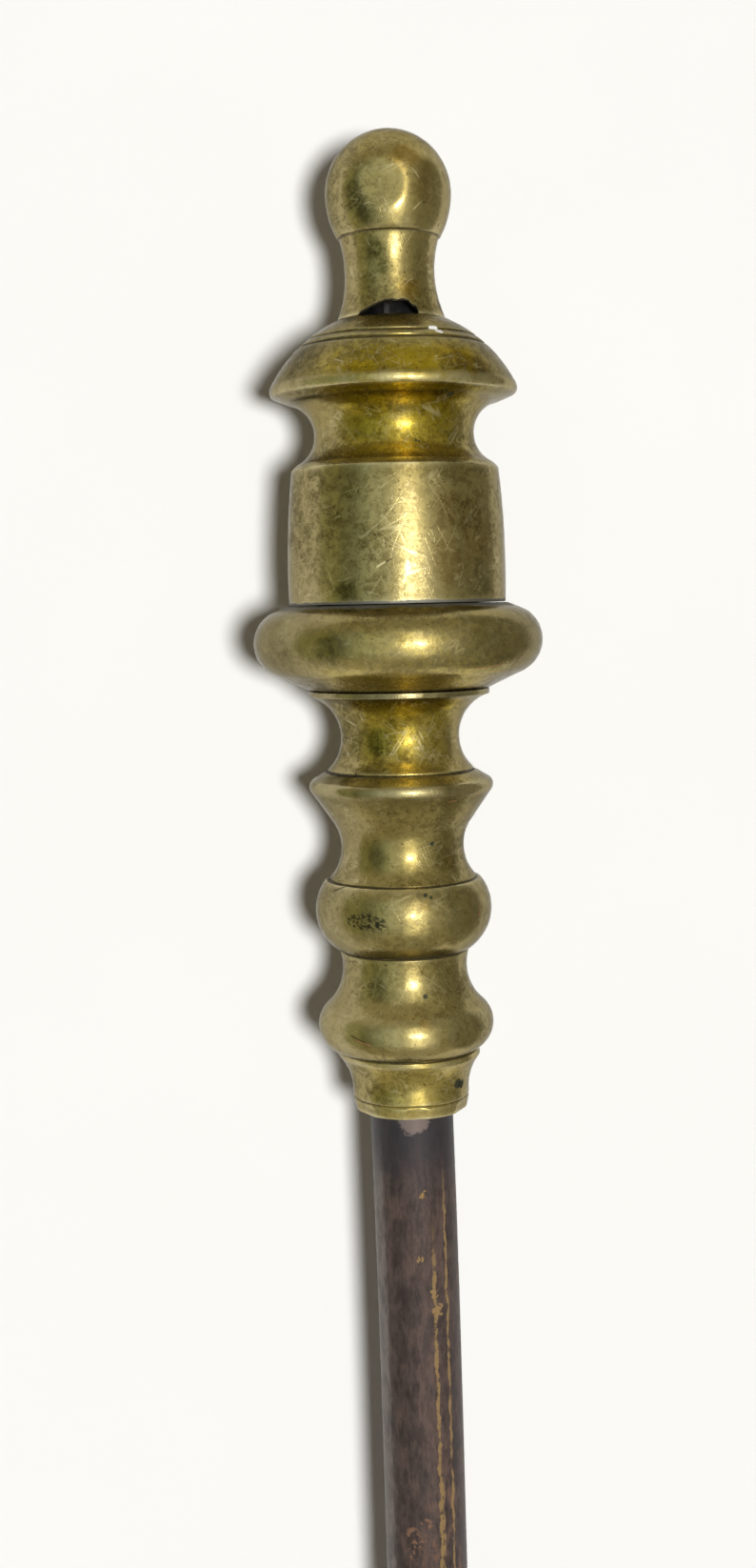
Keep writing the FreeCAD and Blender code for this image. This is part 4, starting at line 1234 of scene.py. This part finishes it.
def shaft_stations():
    """Stations of the forged sections, close together where the neck bends and at the tip."""
    count = round((PAN_BACK - PALM_TIP - PALM_TIP_RADIUS) / CRANK_SPACING)
    body = np.linspace(PAN_BACK - CRANK_SPACING, PALM_TIP + PALM_TIP_RADIUS, count)
    tip = PALM_TIP + PALM_TIP_RADIUS * TIP_SHARES ** 2
    return np.concatenate([body, tip])


def shaft_rings():
    """Rings from the screwed tip of the tang down to the tip of the palm."""
    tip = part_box("shaft")[1].y
    shoulder = COLLAR_MOUTH + SOCKET_DEPTH
    tang_end = COLLAR_MOUTH + TANG_END
    stepped = [(tip, SCREW_RADIUS), (tang_end, SCREW_RADIUS), (tang_end, TANG_RADIUS)]
    stepped += [(shoulder, TANG_RADIUS), (shoulder, BAR_RADIUS)]
    count = round((shoulder - PAN_BACK) / BAR_SPACING)
    bar = np.linspace(shoulder - SHOULDER_GAP, PAN_BACK, count)
    stepped += [(station, BAR_RADIUS) for station in bar]
    rings = [round_ring(station, radius) for station, radius in stepped]
    return np.array(rings + [forged_ring(station) for station in shaft_stations()])


def forge(rings):
    """Hammer marks: slight on the bar and deeper on the neck and palm, never below the pan's floor."""
    centre = rings.mean(axis=1, keepdims=True)
    inward = centre - rings
    inward /= np.maximum(np.linalg.norm(inward, axis=-1, keepdims=True), TINY)
    station = rings[:, :, 1]
    worked = smooth_step(PAN_BACK + WORKED_ABOVE, PAN_BACK - WORKED_BELOW, station)
    in_sight = smooth_step(COLLAR_MOUTH + MOUTH_EASE, COLLAR_MOUTH - MOUTH_EASE, station)
    blows = 1 - hammer_field(rings, PALM_BLOW_SIZE, seed=6)
    depth = lumps(rings, seed=5, **BAR_WAVE) + worked * PALM_BLOW_DEPTH * blows
    flat = worked[:, :, None] * np.array([0, 0, 1.0]) * np.sign(inward[:, :, 2:])
    heading = inward * (1 - worked[:, :, None]) + flat
    above = rings[:, :, 2] > SHEET + BEATEN_FROM * PALM_THICKNESS
    depth = depth * in_sight * np.where(worked > 0.5, above, 1)
    return rings + heading * depth[:, :, None]


def shaft_piece(material):
    rings = forge(shaft_rings())
    count = len(rings)
    ids = np.arange(count * SHAFT_SIDES).reshape(count, SHAFT_SIDES)
    after = np.roll(ids, -1, axis=1)
    faces = [list(map(int, ids[0])), list(map(int, ids[-1][::-1]))]
    for low in range(count - 1):
        faces += quads(ids[low], ids[low + 1], after[low + 1], after[low])
    around = np.broadcast_to(wrapped(math.pi / 2 - circle(SHAFT_SIDES)), (count, SHAFT_SIDES))
    station = rings[:, :, 1]
    reach = np.abs(rings[:, :, 0] - sway(station))
    edge = reach.max(axis=1, keepdims=True) - reach
    worn = smooth_step(PALM_ROOT, PALM_ROOT - PALM_WORN_RUN, station) * smooth_step(*PALM_WORN_EDGE, edge)
    piece = build_mesh("shaft_forged", rings.reshape(-1, 3), faces, {"around": around, "worn": worn})
    sharpen(piece)
    dress(piece, "brown_iron", material, "shaft")


def sharpen(piece):
    """Keep hard corners crisp under smooth shading."""
    piece.data.set_sharp_from_angle(angle=SHARP_ANGLE)


# Pan

def wall_run(level):
    """Distance along the sheet from the bend line to this height."""
    turn = math.pi / 2 - WALL_LEAN
    foot = SHEET + BEND_RADIUS * (1 - math.cos(turn))
    if level <= foot:
        return max(LIP_RUN, BEND_RADIUS * math.acos(1 - max(0, level - SHEET) / BEND_RADIUS))
    return BEND_RADIUS * turn + (level - foot) / math.cos(WALL_LEAN)


def wall_point(run, radius):
    """(out, up, angle) of a point of the wall at this run, on the face whose bend has this radius."""
    turn = math.pi / 2 - WALL_LEAN
    angle = min(turn, run / BEND_RADIUS)
    straight = max(0, run - BEND_RADIUS * turn)
    out = radius * math.sin(angle) + straight * math.sin(WALL_LEAN)
    up = SHEET + BEND_RADIUS - radius * math.cos(angle) + straight * math.cos(WALL_LEAN)
    return out, up, angle


def rim_level(station):
    """Height of the rim along the pan: bevelled lip, rising cheeks and level back."""
    stations = [PAN_FRONT + LIP_BEVEL, PAN_FRONT + LIP_BEVEL + CHEEK_LENGTH, PAN_BACK - PAN_CORNER_RADIUS]
    return float(np.interp(station, stations, [SHEET, CHEEK_HEIGHT, RIM_HEIGHT]))


def left_bend_line():
    """Bend line on the left, from the front edge to the corner's end, and the way out from it."""
    back = PAN_BACK - wall_point(wall_run(RIM_HEIGHT), BEND_RADIUS + SHEET)[0]
    front_corner = np.array([-FLOOR_FRONT_HALF, PAN_FRONT - PATH_MARGIN])
    back_corner = np.array([-FLOOR_BACK_HALF, back])
    side = (back_corner - front_corner) / np.linalg.norm(back_corner - front_corner)
    lean = math.atan2(side[0], side[1])
    turn = math.pi / 2 - lean
    run = PAN_CORNER_RADIUS * math.tan(turn / 2)
    start = back_corner - side * run
    first = front_corner + side * (PATH_MARGIN / side[1])
    points = [first + (start - first) * share for share in np.linspace(0, 1, SIDE_ROWS, endpoint=False)]
    ways = [np.array([-side[1], side[0]])] * SIDE_ROWS
    centre = start + PAN_CORNER_RADIUS * np.array([side[1], -side[0]])
    for angle in np.linspace(0, turn, CORNER_ROWS):
        way = np.array([-math.cos(lean + angle), math.sin(lean + angle)])
        points.append(centre + PAN_CORNER_RADIUS * way)
        ways.append(way)
    return np.array(points), np.array(ways)


def pan_grid():
    """Plan of the sheet: floor rows between the two sides, and the way out along its border."""
    points, ways = left_bend_line()
    shares = np.linspace(-1, 1, FLOOR_COLUMNS + 1)
    floor = np.array([[(-x * share, y) for share in shares] for x, y in points])
    rows = len(points)
    border = [(row, 0) for row in range(rows)]
    border += [(rows - 1, column) for column in range(1, FLOOR_COLUMNS)]
    border += [(row, FLOOR_COLUMNS) for row in reversed(range(rows))]
    back = [np.array([0.0, 1.0])] * (FLOOR_COLUMNS - 1)
    mirrored = [np.array([-x, y]) for x, y in ways[::-1]]
    return floor, border, list(ways) + back + mirrored


def lip_cut(points):
    """Bevel of the upper face towards the front edge."""
    bevel = LIP_EDGE + (points[:, 1] - PAN_FRONT) / LIP_BEVEL * (SHEET - LIP_EDGE)
    points[:, 2] = np.minimum(points[:, 2], np.maximum(bevel, LIP_EDGE))


def pan_faces():
    """Upper points, lower points, way into the pan, distance from the rim and faces of the sheet."""
    floor, border, ways = pan_grid()
    rows, columns = floor.shape[:2]
    plan = floor.reshape(-1, 2)
    upper = [(x, y, SHEET) for x, y in plan]
    lower = [(x, y, 0.0) for x, y in plan]
    inward = [(0.0, 0.0, 1.0)] * len(plan)
    to_rim = [1.0] * len(plan)
    ids = np.arange(rows * columns).reshape(rows, columns)
    faces = []
    for near, far in zip(ids, ids[1:]):
        faces += quads(near, near[1:], far[1:], far)
    strips = []
    for place, way in zip(border, ways):
        x, y = floor[place]
        dip = RIM_DIP * (1 + noise.noise(Vector((x, y, 0)) / RIM_DIP_SIZE))
        height = wall_run(rim_level(y) - (dip if rim_level(y) > 2 * SHEET else 0))
        strip = [ids[place]]
        for column in range(1, WALL_COLUMNS + 1):
            run = height * column / WALL_COLUMNS
            strip.append(len(upper))
            for radius, points in ((BEND_RADIUS, upper), (BEND_RADIUS + SHEET, lower)):
                out, up, angle = wall_point(run, radius)
                points.append((x + way[0] * out, y + way[1] * out, up))
            inward.append((-way[0] * math.sin(angle), -way[1] * math.sin(angle), math.cos(angle)))
            to_rim.append(height - run)
        strips.append(strip)
    for first, second in zip(strips, strips[1:]):
        faces += quads(first, second, second[1:], first[1:])
    return np.array(upper), np.array(lower), np.array(inward), np.array(to_rim), faces


def beat(upper, lower, inward):
    """Hammer the sheet: shallow blows and a slow wave, always towards the inside of the pan."""
    blows = hammer_field(upper, PAN_BLOW_SIZE, seed=1)
    off_lip = smooth_step(PAN_FRONT, PAN_FRONT + LIP_CALM, upper[:, 1])
    depth = PAN_BLOW_DEPTH * blows + lumps(upper, seed=2, **PAN_WAVE)
    depth *= LIP_BEATEN + (1 - LIP_BEATEN) * off_lip
    return upper + inward * depth[:, None], lower + inward * depth[:, None]


def sheet_mesh(upper, lower, faces, crown):
    """Closed sheet from its two faces, with a rounded edge between them."""
    count = len(upper)
    edges = dict.fromkeys(edge for face in faces for edge in zip(face, face[1:] + face[:1]))
    open_edges = [edge for edge in edges if edge[::-1] not in edges]
    rim = sorted({index for edge in open_edges for index in edge})
    middle = {index: 2 * count + order for order, index in enumerate(rim)}
    crowns = [(upper[index] + lower[index]) / 2 + crown(index) for index in rim]
    made = faces + [[index + count for index in face[::-1]] for face in faces]
    for first, second in open_edges:
        made.append([second, first, middle[first], middle[second]])
        made.append([middle[second], middle[first], first + count, second + count])
    return np.vstack([upper, lower, crowns]), made, rim


def pan_piece(material):
    upper, lower, inward, to_rim, faces = pan_faces()
    lip_cut(upper)
    upper, lower = beat(upper, lower, inward)

    def crown(index):
        if upper[index][1] < PAN_FRONT + LIP_CROWN_REACH:
            return np.array([0, -LIP_CROWN, 0])
        across = np.array([inward[index][0], inward[index][1], 0])
        rise = np.array([0, 0, np.linalg.norm(across)])
        out = -across / max(np.linalg.norm(across), TINY) * inward[index][2]
        return (rise + out) * RIM_CROWN

    points, faces, rim = sheet_mesh(upper, lower, faces, crown)
    front = smooth_step(PAN_FRONT + LIP_WORN, PAN_FRONT, upper[:, 1])
    worn = np.maximum(LIP_BARE * front, smooth_step(*RIM_WORN, to_rim))
    layers = {"worn": np.concatenate([worn, worn, np.ones(len(rim))])}
    points[:, 1] = np.maximum(points[:, 1], PAN_FRONT)
    piece = build_mesh("pan_sheet", points, faces, layers)
    dress(piece, "dark_iron", material, "pan")


# Pieces

def dress(piece, slot, material, *nodes):
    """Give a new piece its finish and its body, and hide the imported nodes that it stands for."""
    piece.data.materials.append(material)
    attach(piece, "root")
    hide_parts(*nodes)


def brass_piece(node, material, shapers, seed):
    turned = Turned(node)
    wear(turned, seed)
    for shaper in shapers:
        shaper(turned)
    piece = turned.mesh(node + "_worn", turned_layers(turned))
    dress(piece, "aged_brass", material, node)


def refinish(node, material):
    """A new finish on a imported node."""
    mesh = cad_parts[node].data
    mesh.materials.clear()
    mesh.materials.append(material)


def make_brass():
    material = brass_material()
    brass_piece("baluster_stem", material, [crimp, bend_collar], seed=10)
    brass_piece("torus_ring", material, [], seed=20)
    brass_piece("cap_barrel", material, [], seed=30)
    brass_piece("finial_knob", material, [flatten_ball, notch, lean_knob], seed=40)


def make_iron():
    dark = dark_iron_material()
    shaft_piece(brown_iron_material())
    pan_piece(dark)
    for node in ("tang_nut", "pan_rivets"):
        refinish(node, dark)


make_camera()
make_floor()
make_card()
make_lamps()
make_room()
make_brass()
make_iron()
bpy.context.scene.view_settings.view_transform = "Standard"
